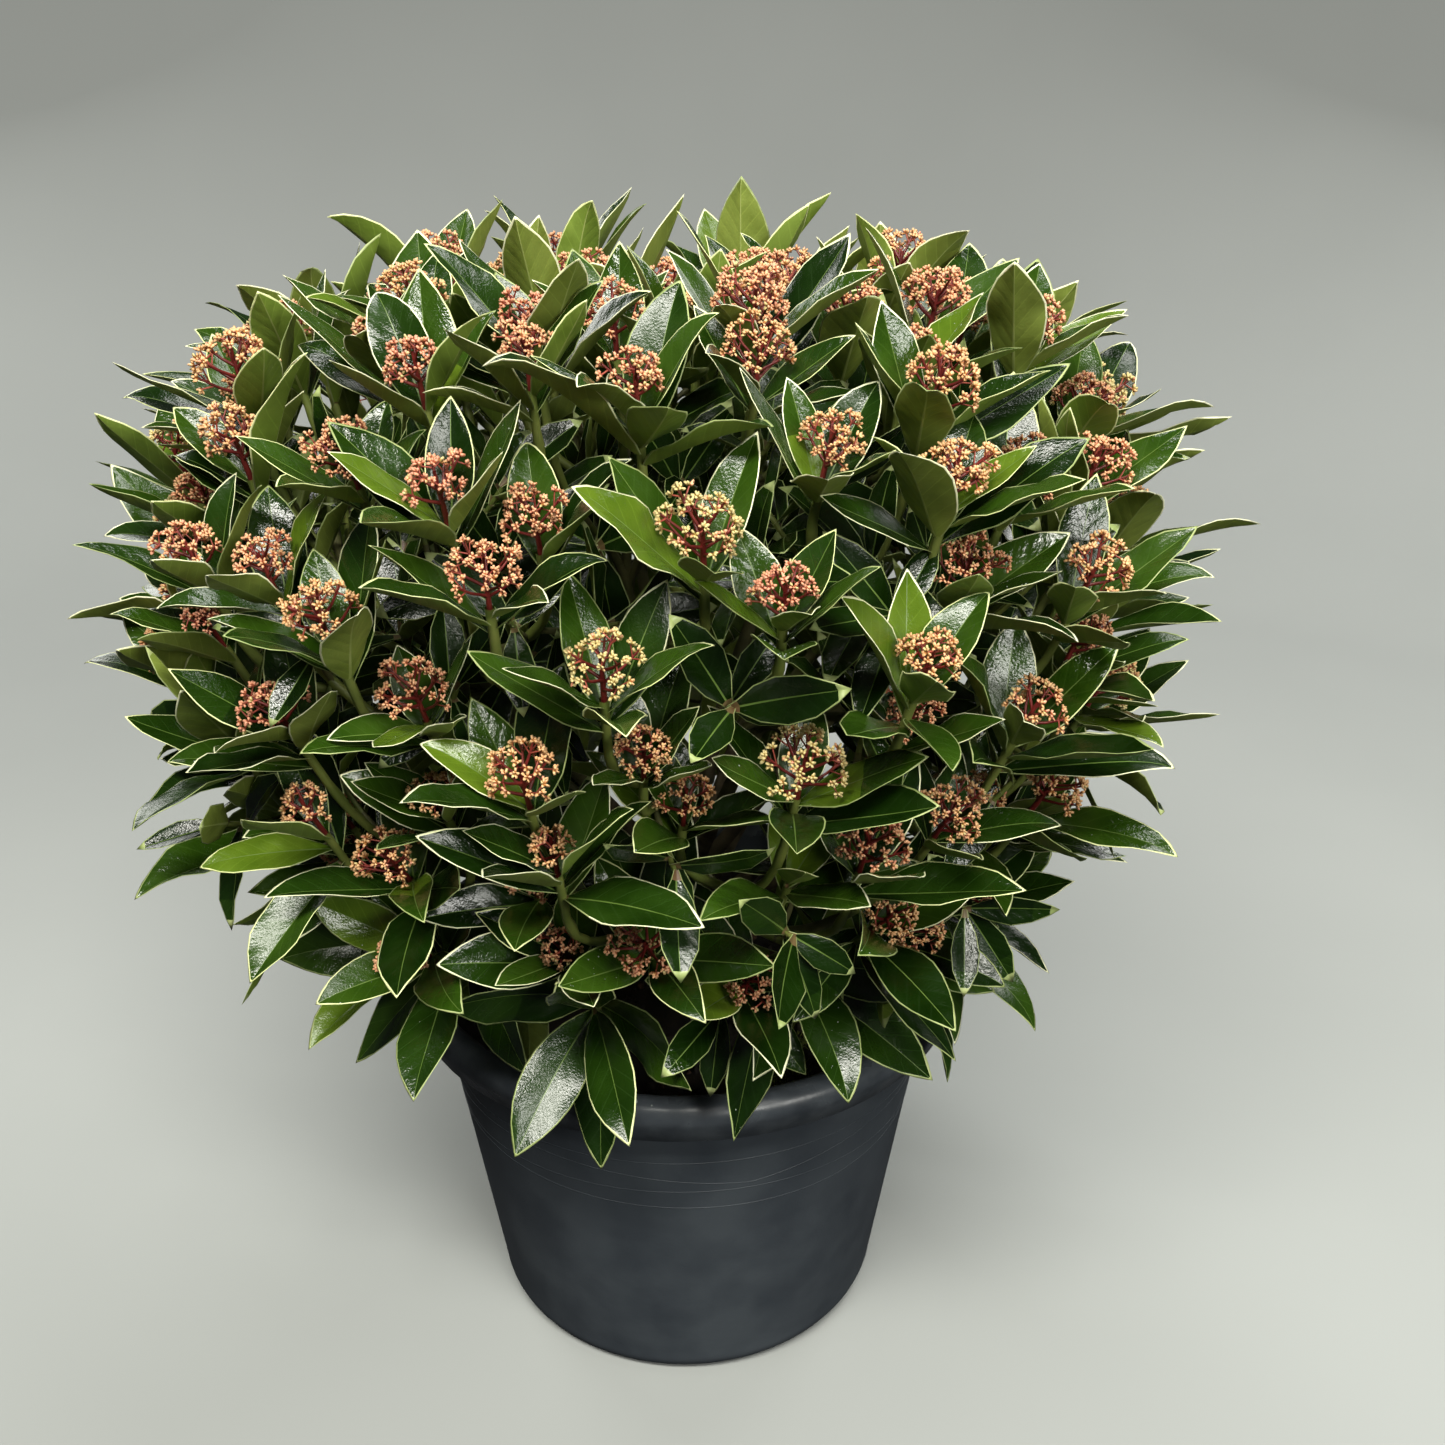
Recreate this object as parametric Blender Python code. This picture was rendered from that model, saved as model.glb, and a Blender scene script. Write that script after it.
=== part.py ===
"""Potted Japanese skimmia: pot, soil, short trunk, boughs, and masses of twigs, leaves and flower buds."""

import math
import random
from dataclasses import dataclass

import bmesh
import bpy
from mathutils import Vector
from mathutils.bvhtree import BVHTree

MM = 0.001
CLEAR = 0.3 * MM  # left between solids that meet
UP = Vector((0.0, 0.0, 1.0))
SEED = 418

# Pot, measured from the middle of its underside
POT_HEIGHT = 180 * MM
POT_LIP_RADIUS = 133 * MM
POT_NECK_RADIUS = 117 * MM  # just under the lip
POT_FOOT_RADIUS = 95.5 * MM  # where the foot's rounding ends
POT_FOOT_ROUNDING = 11 * MM
POT_LIP_DEPTH = 24 * MM
POT_LIP_ROUNDING = 7 * MM
POT_LIP_UNDERCUT = 5 * MM  # the lip's lower edge, in from its widest
POT_LIP_SLOPE = 4 * MM  # height of the slope from the neck out to the lip
POT_LIP_INNER = (2 * MM, 5 * MM)  # the lip's inner edge, out from the neck and down from the top
POT_WALL = 2.5 * MM
POT_SIDES = 32
SOIL_TOP = 160 * MM
SOIL_GAP = 0.6 * MM
SOIL_EDGE = (9 * MM, 3 * MM)  # width and drop of the slope round its edge

# Trunk, from its flat cut on the soil up to its fork
TRUNK_FOOT = Vector((3 * MM, 0.0, SOIL_TOP + CLEAR))
TRUNK_TOP = Vector((-2 * MM, 1 * MM, 236 * MM))
TRUNK_RADIUS = 12.5 * MM
TRUNK_FLARE = 0.7  # how much wider the foot is, in trunk radii
TRUNK_FLARE_FADE = 6.0  # how quickly the flare dies out going up
TRUNK_TAPER = 0.2  # how much narrower the top is, in trunk radii
TRUNK_RINGS = 6
TRUNK_SIDES = 12

# Crown, a ball of rosettes a little flattened and squared off
CROWN_CENTRE = Vector((-9 * MM, 0.0, 310 * MM))
CROWN_REACH = 202 * MM  # from the centre out to a rosette
CROWN_RISE = 168 * MM  # from the centre up to a rosette
CROWN_SQUARENESS = 2.7
# Rings of shoots: height angle, number, bearing of the first, share of the reach, whether they flower
SHOOT_RINGS = (
    (-29, 8, 12, 0.70, False),
    (-15, 11, 0, 0.83, True),
    (-2, 12, -9, 0.93, True),
    (11, 14, -12, 0.97, True),
    (23, 14, -2, 0.99, True),
    (35, 13, 6, 0.99, True),
    (47, 11, 3, 0.97, True),
    (60, 8, -20, 0.96, True),
    (74, 5, -10, 0.96, True),
    (88, 1, 145, 0.95, True),
)
SHOOT_SWAY = 3.5  # degrees that a shoot strays from its even place
SHOOT_REACH = (0.96, 1.03)  # how far out it ends, as a share of its ring's reach
SHOOT_UPTURN = 1.0  # how far a shoot turns up from straight out
SHOOT_LEAN = 0.16  # how far it leans any way by chance
# Masses of foliage: name, height angle of the middle, number, bearing of the first, height of the fork
MASS_RINGS = (
    ("low", -4, 8, 10, 187 * MM),
    ("middle", 34, 6, 20, 206 * MM),
    ("top", 68, 3, -35, 214 * MM),
)

# Limbs
BOUGH_RADII = (3.8 * MM, 2.9 * MM)
BOUGH_SHARE = 0.5  # of the way from the fork to the middle of the mass
BOUGH_BOW = 7 * MM  # how far it bows aside
BOUGH_HANDLES = (0.4, 0.7)  # where along its way its curve's middle points lie
BOUGH_SIDES = 5
BOUGH_STEPS = 3
STEM_LENGTH = 24 * MM
STEM_RADII = (2.9 * MM, 2.5 * MM)
STEM_SIDES = 5
TWIG_RADII = (2.4 * MM, 2.6 * MM)
TWIG_SIDES = 3
TWIG_STEPS = 2
TWIG_HANDLES = (0.3, 0.4)  # of a twig's span that it runs straight on at either end of its curve
TWIG_START = (0.5, 0.95)  # where on the stem it starts, as a share of the stem's length
TWIG_SLIDES = (0.9, 0.75, 0.6, 0.45, 0.3)  # places to try where that one isn't free
ROSETTE_DEPTH = 23 * MM  # the straight end of a twig that carries the leaves

# Flower heads
STALK_LENGTH = 22 * MM
STALK_RADIUS = 1.5 * MM
HEAD_RADIUS = (11 * MM, 17 * MM)
HEAD_HEIGHT = 0.85  # in head radii
HEAD_LUMPS = (0.85, 1.12)  # how far its corners stand out, in head radii
HEAD_TRIES = (1.0, 0.85, 0.7, 0.55)

# Leaves
LEAVES = 5
LEAF_TURN = 137.5  # degrees from one leaf to the next round the shoot
LEAF_STEP = 4 * MM  # from one leaf down to the next along the shoot
LEAF_FIRST = 0.6  # how far below the shoot's end the first leaf is, in steps
LEAF_PITCH = (34.0, 10.0)  # degrees from the shoot for the first leaf, and more for each one after it
LEAF_SPREAD = 0.35  # how much more the leaves on a shoot's outer side spread, and the inner ones stand up
LEAF_RISE = 0.2  # how far every leaf turns up
LEAF_LENGTH = (59 * MM, 2.6 * MM)  # the first leaf's length, and more for each one after it
LEAF_WIDTH = 0.39  # of its length
LEAF_THICKNESS = 1.4 * MM
LEAF_MIDDLE = 0.46  # where it is widest, as a share of its length
LEAF_SPINE_STEPS = 8  # steps in working out its bend
LEAF_SUNK = 0.9 * MM  # how far past the twig's middle its root goes
LEAF_BEND = (-0.15, 0.35)  # how far it bends back from the shoot by its tip
LEAF_SAG = 0.1  # how far it sags by its tip, and twice as far below the crown's middle
LEAF_STRAY = {"turn": 9.0, "pitch": 6.0, "roll": 17.0}  # degrees either way by chance
LEAF_SIZES = (0.88, 1.1)
# Ways to turn a leaf that would touch something: added pitch and turn in degrees, share of its length
LEAF_TRIES = (
    (0, 0, 1.0),
    (9, 0, 1.0),
    (0, 14, 1.0),
    (0, -14, 1.0),
    (-9, 8, 1.0),
    (18, -8, 0.95),
    (12, 24, 0.92),
    (12, -24, 0.92),
    (-14, -16, 0.88),
    (26, 0, 0.85),
)
INTERLEAVE = 32 * MM  # how far a leaf may reach in among the next mass's shoots


@dataclass
class Shoot:
    """One leafy shoot: where its rosette sits, the way it points, and its own stream of random numbers."""

    number: int
    rise: float
    bearing: float
    node: Vector
    axis: Vector
    flowers: bool
    draw: random.Random
    mass: str = ""


@dataclass
class Mass:
    """One mass of foliage: its shoots, the bough that carries it, and its own stem."""

    name: str
    rise: float
    bearing: float
    fork: Vector
    shoots: list
    bough: list
    stem: list


def clear_scene():
    for old in list(bpy.data.objects):
        bpy.data.objects.remove(old, do_unlink=True)


def material(name, colour, roughness):
    made = bpy.data.materials.new(name)
    made.use_nodes = True
    shader = made.node_tree.nodes["Principled BSDF"]
    shader.inputs["Base Color"].default_value = (*colour, 1.0)
    shader.inputs["Roughness"].default_value = roughness
    shader.inputs["Metallic"].default_value = 0.0
    return made


def add_object(name, shape, finish=None, collection=None):
    """A mesh object from (points, faces)."""
    mesh = bpy.data.meshes.new(name)
    mesh.from_pydata(shape[0], [], shape[1])
    mesh.update()
    if finish:
        mesh.materials.append(finish)
    made = bpy.data.objects.new(name, mesh)
    (collection or bpy.context.scene.collection).objects.link(made)
    return made


def turned(name, profile, sides, finish):
    """A solid of revolution about Z, from (radius, height) points that start and end on the axis."""
    bm = bmesh.new()
    corners = [bm.verts.new((radius, 0.0, height)) for radius, height in profile]
    edges = [bm.edges.new(pair) for pair in zip(corners, corners[1:])]
    bmesh.ops.spin(
        bm, geom=corners + edges, axis=UP, cent=(0, 0, 0), angle=2 * math.pi, steps=sides
    )
    bmesh.ops.remove_doubles(bm, verts=bm.verts, dist=0.001 * MM)
    bmesh.ops.recalc_face_normals(bm, faces=bm.faces)
    mesh = bpy.data.meshes.new(name)
    bm.to_mesh(mesh)
    bm.free()
    mesh.materials.append(finish)
    mesh.shade_smooth()
    mesh.set_sharp_from_angle(angle=math.radians(40))
    made = bpy.data.objects.new(name, mesh)
    bpy.context.scene.collection.objects.link(made)
    return made


def arc(centre, radius, start, end, steps):
    """Points of a round stretch of a profile, angles in degrees."""
    angles = (math.radians(start + (end - start) * k / steps) for k in range(steps + 1))
    return [(centre[0] + radius * math.cos(a), centre[1] + radius * math.sin(a)) for a in angles]


def build_pot():
    """The pot as one profile: underside, rounded foot, tapering wall, lip, and back down the inside."""
    finish = material("pot_plastic", (0.035, 0.042, 0.052), 0.5)
    neck = POT_HEIGHT - POT_LIP_DEPTH
    foot_middle = (POT_FOOT_RADIUS - POT_FOOT_ROUNDING, POT_FOOT_ROUNDING)
    lip_middle = (POT_LIP_RADIUS - POT_LIP_ROUNDING, POT_HEIGHT - POT_LIP_ROUNDING)
    profile = [(0.0, 0.0)]
    profile += arc(foot_middle, POT_FOOT_ROUNDING, -90, 0, 2)
    profile += [(POT_NECK_RADIUS, neck)]
    profile += [(POT_LIP_RADIUS - POT_LIP_UNDERCUT, neck + POT_LIP_SLOPE)]
    profile += arc(lip_middle, POT_LIP_ROUNDING, -20, 110, 4)
    profile += [(POT_NECK_RADIUS + POT_LIP_INNER[0], POT_HEIGHT - POT_LIP_INNER[1])]
    profile += [(POT_NECK_RADIUS - POT_WALL, neck - POT_LIP_SLOPE)]
    profile += [(POT_FOOT_RADIUS - POT_WALL, POT_FOOT_ROUNDING)]
    profile += [(foot_middle[0], POT_WALL), (0.0, POT_WALL)]
    return turned("pot", profile, POT_SIDES, finish)


def build_soil():
    """The soil fills the pot, a little clear of its wall, and slopes down at its edge."""
    finish = material("potting_soil", (0.018, 0.012, 0.008), 0.95)
    floor = POT_WALL + CLEAR
    edge = POT_NECK_RADIUS - POT_WALL - SOIL_GAP
    profile = [
        (0.0, floor),
        (POT_FOOT_RADIUS - POT_FOOT_ROUNDING - SOIL_GAP, floor),
        (POT_FOOT_RADIUS - POT_WALL - SOIL_GAP, POT_FOOT_ROUNDING + CLEAR),
        (edge, POT_HEIGHT - POT_LIP_DEPTH - POT_LIP_SLOPE),
        (edge, SOIL_TOP - SOIL_EDGE[1]),
        (edge - SOIL_EDGE[0], SOIL_TOP),
        (0.0, SOIL_TOP),
    ]
    return turned("soil", profile, POT_SIDES, finish)


def compass(bearing):
    """The level way at a bearing: 0 is the front, 90 degrees the right."""
    return Vector((math.sin(bearing), -math.cos(bearing), 0.0))


def sky_way(rise, bearing):
    return compass(bearing) * math.cos(rise) + UP * math.sin(rise)


def crown_point(rise, bearing, share):
    """Point on the crown's rounded surface, given by angles before it is flattened."""
    level, up = math.cos(rise), math.sin(rise)
    swell = (abs(level) ** CROWN_SQUARENESS + abs(up) ** CROWN_SQUARENESS) ** (-1 / CROWN_SQUARENESS)
    out = compass(bearing) * level * CROWN_REACH + UP * up * CROWN_RISE
    return CROWN_CENTRE + out * swell * share


def any_way(draw):
    """A chance offset of up to one each way."""
    return Vector((draw.uniform(-1, 1), draw.uniform(-1, 1), draw.uniform(-1, 1)))


def bezier(points, t):
    """Point at t on the curve that these control points give."""
    while len(points) > 1:
        points = [a.lerp(b, t) for a, b in zip(points, points[1:])]
    return points[0]


def limb(points, radii, sides):
    """(points, faces) of a closed limb: a ring of corners at each point, and flat ends."""
    corners = []
    side = None
    for k, (point, radius) in enumerate(zip(points, radii)):
        way = (points[min(k + 1, len(points) - 1)] - points[max(k - 1, 0)]).normalized()
        side = way.orthogonal() if side is None else side - way * side.dot(way)
        side.normalize()
        across = way.cross(side)
        for i in range(sides):
            turn = 2 * math.pi * i / sides
            corners.append(point + (side * math.cos(turn) + across * math.sin(turn)) * radius)
    faces = [tuple(reversed(range(sides))), tuple(range(len(corners) - sides, len(corners)))]
    for ring in range(0, len(corners) - sides, sides):
        for i in range(sides):
            j = (i + 1) % sides
            faces.append((ring + i, ring + j, ring + sides + j, ring + sides + i))
    return corners, faces


def taper(ends, count):
    return [ends[0] + (ends[1] - ends[0]) * k / (count - 1) for k in range(count)]


class Crowd:
    """The shapes placed so far, asked whether a new one would touch them."""

    def __init__(self):
        self.members = []

    def entry(self, shape):
        middle = sum(shape[0], Vector()) / len(shape[0])
        radius = max((p - middle).length for p in shape[0])
        return BVHTree.FromPolygons(shape[0], shape[1]), middle, radius

    def add(self, shape, owner):
        self.members.append((*self.entry(shape), owner))

    def hits(self, shape, leave_out):
        tree, middle, radius = self.entry(shape)
        for other, other_middle, other_radius, owner in self.members:
            if owner in leave_out:
                continue
            if (middle - other_middle).length < radius + other_radius and tree.overlap(other):
                return True
        return False


def lay_out_shoots():
    shoots = []
    for rise, count, first, share, flowers in SHOOT_RINGS:
        for k in range(count):
            draw = random.Random(SEED * 1000 + len(shoots))
            bearing = math.radians(first + 360 * k / count + draw.uniform(-SHOOT_SWAY, SHOOT_SWAY))
            height = math.radians(rise + draw.uniform(-SHOOT_SWAY, SHOOT_SWAY))
            node = crown_point(height, bearing, share * draw.uniform(*SHOOT_REACH))
            out = (node - CROWN_CENTRE).normalized()
            axis = (out + UP * SHOOT_UPTURN + any_way(draw) * SHOOT_LEAN).normalized()
            shoots.append(Shoot(len(shoots), height, bearing, node, axis, flowers, draw))
    return shoots


def lay_out_masses(shoots):
    """Masses in rings, each shoot in the one whose middle is nearest."""
    masses = []
    for name, rise, count, first, fork in MASS_RINGS:
        share = (fork - TRUNK_FOOT.z) / (TRUNK_TOP.z - TRUNK_FOOT.z)
        start = TRUNK_FOOT.lerp(TRUNK_TOP, share)
        for k in range(count):
            bearing = math.radians(first + 360 * k / count)
            masses.append(Mass(f"{name}_{k + 1}", math.radians(rise), bearing, start, [], [], []))
    for shoot in shoots:
        way = sky_way(shoot.rise, shoot.bearing)
        nearest = max(masses, key=lambda mass: way.dot(sky_way(mass.rise, mass.bearing)))
        nearest.shoots.append(shoot)
        shoot.mass = nearest.name
    for mass in masses:
        mass.bough = bough_points(mass)
        way = (mass.bough[-1] - mass.bough[-2]).normalized()
        start = mass.bough[-1] + way * CLEAR
        mass.stem = [start, start + way * STEM_LENGTH]
    return masses


def trunk_shape(extra):
    """The trunk flares at its foot and tapers to its fork; extra is added all round."""
    points, radii = [], []
    for k in range(TRUNK_RINGS):
        share = k / (TRUNK_RINGS - 1)
        flare = TRUNK_FLARE * math.exp(-TRUNK_FLARE_FADE * share)
        points.append(TRUNK_FOOT.lerp(TRUNK_TOP, share))
        radii.append(TRUNK_RADIUS * (1 + flare - TRUNK_TAPER * share) + extra)
    points[0] = points[0] - UP * extra
    points[-1] = points[-1] + UP * extra
    # The trunk's rings lie level, so that its foot is flat on the soil.
    corners = []
    for point, radius in zip(points, radii):
        for i in range(TRUNK_SIDES):
            turn = 2 * math.pi * i / TRUNK_SIDES
            corners.append(point + Vector((math.cos(turn), math.sin(turn), 0.0)) * radius)
    return corners, limb(points, radii, TRUNK_SIDES)[1]


def bough_points(mass):
    """The bough's route, from inside the trunk to where it enters its mass."""
    middle = sum((shoot.node for shoot in mass.shoots), Vector()) / len(mass.shoots)
    end = mass.fork.lerp(middle, BOUGH_SHARE)
    draw = random.Random(f"{SEED} {mass.name}")
    bow = any_way(draw) * BOUGH_BOW
    near, far = (mass.fork.lerp(end, handle) for handle in BOUGH_HANDLES)
    route = (mass.fork, near, far + bow, end)
    return [bezier(route, k / BOUGH_STEPS) for k in range(BOUGH_STEPS + 1)]


def twig_points(stem, shoot, slide):
    """A twig's route from inside its stem, in a curve, to the straight end that carries the leaves."""
    start = stem[0].lerp(stem[1], slide)
    way = (stem[1] - stem[0]).normalized()
    foot = shoot.node - shoot.axis * ROSETTE_DEPTH
    span = (foot - start).length
    leave, arrive = (span * handle for handle in TWIG_HANDLES)
    route = (start, start + way * leave, foot - shoot.axis * arrive, foot)
    return [bezier(route, k / TWIG_STEPS) for k in range(TWIG_STEPS + 1)] + [shoot.node]


def twig_shape(points, shoot, extra=0.0):
    radii = [radius + extra for radius in taper(TWIG_RADII, len(points))]
    if shoot.flowers:
        points = points + [shoot.node + shoot.axis * STALK_LENGTH]
        radii = radii + [STALK_RADIUS + extra]
    return limb(points, radii, TWIG_SIDES)


def place_twigs(masses, crowd):
    """Every shoot's twig, from a place on its stem where it stays clear of the other masses."""
    twigs = {}
    for mass in masses:
        own = {f"stem {mass.name}"} | {f"twig {shoot.number}" for shoot in mass.shoots}
        for shoot in list(mass.shoots):
            slides = (shoot.draw.uniform(*TWIG_START), *TWIG_SLIDES)
            routes = [twig_points(mass.stem, shoot, slide) for slide in slides]
            free = [r for r in routes if not crowd.hits(twig_shape(r, shoot, CLEAR), own)]
            if free:
                twigs[shoot.number] = free[0]
                crowd.add(twig_shape(free[0], shoot, CLEAR), f"twig {shoot.number}")
            else:
                mass.shoots.remove(shoot)
    return twigs


def head_shape(shoot, share, extra=0.0):
    """A flower head as a lumpy, slightly flattened ball of 20 faces at the end of its stalk."""
    draw = random.Random(SEED * 2000 + shoot.number)
    radius = draw.uniform(*HEAD_RADIUS) * share
    bm = bmesh.new()
    bmesh.ops.create_icosphere(bm, subdivisions=1, radius=1.0)
    bm.verts.ensure_lookup_table()
    turn = UP.rotation_difference(shoot.axis)
    middle = shoot.node + shoot.axis * STALK_LENGTH
    points = []
    for vert in bm.verts:
        lump = draw.uniform(*HEAD_LUMPS) * radius
        shaped = Vector((vert.co.x, vert.co.y, vert.co.z * HEAD_HEIGHT)) * (lump + extra)
        points.append(middle + turn @ shaped)
    faces = [tuple(vert.index for vert in face.verts) for face in bm.faces]
    bm.free()
    return points, faces


def place_heads(masses, crowd):
    """The flower heads, each made smaller where it would touch something."""
    heads = {mass.name: [] for mass in masses}
    for mass in masses:
        for shoot in mass.shoots:
            own = {f"twig {shoot.number}"}
            shares = [share for share in HEAD_TRIES if shoot.flowers]
            free = [s for s in shares if not crowd.hits(head_shape(shoot, s, CLEAR), own)]
            if free:
                crowd.add(head_shape(shoot, free[0], CLEAR), f"head {shoot.number}")
                heads[mass.name].append(head_shape(shoot, free[0]))
    return heads


def leaf_spine(root, aim, back, bend, sag, length, steps):
    """Points of a leaf's midrib and the way it runs at each: it bends back from the shoot and sags."""
    points, ways = [root], [aim]
    for k in range(steps):
        share = (k + 0.5) / steps
        way = (aim + (back * bend - UP * sag) * share).normalized()
        points.append(points[-1] + way * length / steps)
        ways.append(way)
    return points, ways


def leaf_shape(shoot, number, turn, pitch, bend, roll, length, extra=0.0):
    """A leaf of 6 faces: root sunk in the twig, tip, two edges, and a keel below its middle.

    With some extra all round it has a ridge above its middle too, so that it wraps the true leaf.
    """
    first = shoot.axis.orthogonal().normalized()
    across = shoot.axis.cross(first)
    out = first * math.cos(turn) + across * math.sin(turn)
    outer = out.dot(compass(shoot.bearing))
    spread = pitch * (1 + LEAF_SPREAD * outer)
    aim = (shoot.axis * math.cos(spread) + out * math.sin(spread) + UP * LEAF_RISE).normalized()
    root = shoot.node - shoot.axis * LEAF_STEP * (number + LEAF_FIRST) - out * LEAF_SUNK
    sag = LEAF_SAG * (2 if shoot.rise < 0 else 1)
    points, ways = leaf_spine(root, aim, -shoot.axis, bend, sag, length, LEAF_SPINE_STEPS)
    low = int(LEAF_MIDDLE * LEAF_SPINE_STEPS)
    middle = points[low].lerp(points[low + 1], LEAF_MIDDLE * LEAF_SPINE_STEPS - low)
    way = ways[low + 1]
    level = out.cross(shoot.axis)
    level = (level - way * level.dot(way)).normalized()
    side = level * math.cos(roll) + level.cross(way) * math.sin(roll)
    face = side.cross(way)
    half = length * LEAF_WIDTH / 2 + extra
    corners = [root, points[-1] + way * 3 * extra, middle + side * half, middle - side * half]
    corners.append(middle - face * (LEAF_THICKNESS + 2 * extra))
    under = [(2, 0, 4), (1, 2, 4), (3, 1, 4), (0, 3, 4)]
    if not extra:
        return corners, under + [(0, 2, 3), (2, 1, 3)]
    corners.append(middle + face * 2 * extra)
    return corners, under + [(0, 2, 5), (2, 1, 5), (1, 3, 5), (3, 0, 5)]


def stray(draw, kind):
    return draw.uniform(-LEAF_STRAY[kind], LEAF_STRAY[kind])


def in_own_space(point, mass, shoots):
    """Whether a point is nearer its own mass's shoots than another's, give or take the interleave."""
    own = min((point - shoot.node).length for shoot in shoots if shoot.mass == mass.name)
    other = min((point - shoot.node).length for shoot in shoots if shoot.mass != mass.name)
    return own < other + INTERLEAVE


def place_leaves(masses, shoots, crowd):
    """Leaves in turn round every shoot, each turned aside or left out where it would touch something."""
    leaves = {mass.name: [] for mass in masses}
    for number in range(LEAVES):
        for mass in masses:
            for shoot in mass.shoots:
                draw = shoot.draw
                turn = LEAF_TURN * (number + shoot.number / 3) + stray(draw, "turn")
                pitch = LEAF_PITCH[0] + LEAF_PITCH[1] * number + stray(draw, "pitch")
                length = (LEAF_LENGTH[0] + LEAF_LENGTH[1] * number) * draw.uniform(*LEAF_SIZES)
                bend = draw.uniform(*LEAF_BEND)
                roll = math.radians(stray(draw, "roll"))
                for more_pitch, more_turn, shorter in LEAF_TRIES:
                    aimed = (
                        math.radians(turn + more_turn),
                        math.radians(pitch + more_pitch),
                        bend,
                        roll,
                        length * shorter,
                    )
                    shape = leaf_shape(shoot, number, *aimed, CLEAR)
                    own_twig = {f"twig {shoot.number}"}
                    if not in_own_space(shape[0][1], mass, shoots) or crowd.hits(shape, own_twig):
                        continue
                    crowd.add(shape, "leaf")
                    leaves[mass.name].append(leaf_shape(shoot, number, *aimed))
                    break
    return leaves


def largest_shell(mesh):
    """Keeps the outer shell of the largest body, so that no sealed hollow or loose scrap is left."""
    bm = bmesh.new()
    bm.from_mesh(mesh)
    left = set(bm.faces)
    shells = []
    while left:
        shell, edge = set(), [left.pop()]
        while edge:
            face = edge.pop()
            shell.add(face)
            near = {other for e in face.edges for other in e.link_faces} & left
            left -= near
            edge.extend(near)
        shells.append(shell)
    shells.sort(key=len)
    scraps = [face for shell in shells[:-1] for face in shell]
    bmesh.ops.delete(bm, geom=scraps, context="FACES")
    bm.to_mesh(mesh)
    bm.free()


def fuse(name, shapes, finish):
    """One body from overlapping shapes, by a Boolean union on a collection."""
    pieces = bpy.data.collections.new(name + "_pieces")
    bpy.context.scene.collection.children.link(pieces)
    for number, shape in enumerate(shapes[1:]):
        add_object(f"{name}_piece_{number}", shape, collection=pieces)
    body = add_object(name, shapes[0], finish)
    union = body.modifiers.new("union", "BOOLEAN")
    union.operation = "UNION"
    union.solver = "MANIFOLD"
    union.operand_type = "COLLECTION"
    union.collection = pieces
    graph = bpy.context.evaluated_depsgraph_get()
    joined = bpy.data.meshes.new_from_object(body.evaluated_get(graph))
    body.modifiers.clear()
    body.data = joined
    for piece in list(pieces.objects):
        bpy.data.objects.remove(piece, do_unlink=True)
    bpy.data.collections.remove(pieces)
    largest_shell(joined)
    return body


def build_trunk(finish):
    return add_object("trunk", trunk_shape(0.0), finish)


def build_boughs(masses, finish):
    """One tapering limb for each mass, cut clear of the trunk."""
    cutter = add_object("trunk_cutter", trunk_shape(CLEAR))
    cutter.hide_render = True
    cutter.display_type = "WIRE"
    for mass in masses:
        shape = limb(mass.bough, taper(BOUGH_RADII, len(mass.bough)), BOUGH_SIDES)
        bough = add_object("bough_" + mass.name, shape, finish)
        cut = bough.modifiers.new("clear_of_trunk", "BOOLEAN")
        cut.operation = "DIFFERENCE"
        cut.object = cutter


def crowd_of_limbs(masses, solids):
    """The crowd that twigs and leaves keep clear of: pot, soil, trunk, boughs and stems."""
    crowd = Crowd()
    for solid in solids:
        points = [vert.co.copy() for vert in solid.data.vertices]
        crowd.add((points, [tuple(face.vertices) for face in solid.data.polygons]), solid.name)
    crowd.add(trunk_shape(CLEAR), "trunk")
    for mass in masses:
        bough = [radius + CLEAR for radius in taper(BOUGH_RADII, len(mass.bough))]
        stem = [radius + CLEAR for radius in STEM_RADII]
        crowd.add(limb(mass.bough, bough, BOUGH_SIDES), f"bough {mass.name}")
        crowd.add(limb(mass.stem, stem, STEM_SIDES), f"stem {mass.name}")
    return crowd


def main():
    clear_scene()
    pot = build_pot()
    soil = build_soil()
    bark = material("bark", (0.16, 0.13, 0.07), 0.8)
    foliage = material("foliage", (0.03, 0.11, 0.02), 0.3)
    shoots = lay_out_shoots()
    masses = lay_out_masses(shoots)
    build_trunk(bark)
    build_boughs(masses, bark)
    crowd = crowd_of_limbs(masses, (pot, soil))
    twigs = place_twigs(masses, crowd)
    heads = place_heads(masses, crowd)
    leaves = place_leaves(masses, shoots, crowd)
    for mass in masses:
        shapes = [limb(mass.stem, STEM_RADII, STEM_SIDES)]
        shapes += [twig_shape(twigs[shoot.number], shoot) for shoot in mass.shoots]
        shapes += heads[mass.name] + leaves[mass.name]
        fuse("foliage_" + mass.name, shapes, foliage)
    placed = sum(len(found) for found in leaves.values())
    print(f"{sum(len(mass.shoots) for mass in masses)} shoots, {placed} leaves")


main()
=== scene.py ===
"""The looks of a potted Japanese skimmia: every surface of it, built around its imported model."""

import math
import random
from dataclasses import dataclass

import bpy
import numpy as np
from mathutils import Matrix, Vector, noise
from mathutils.bvhtree import BVHTree


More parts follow.
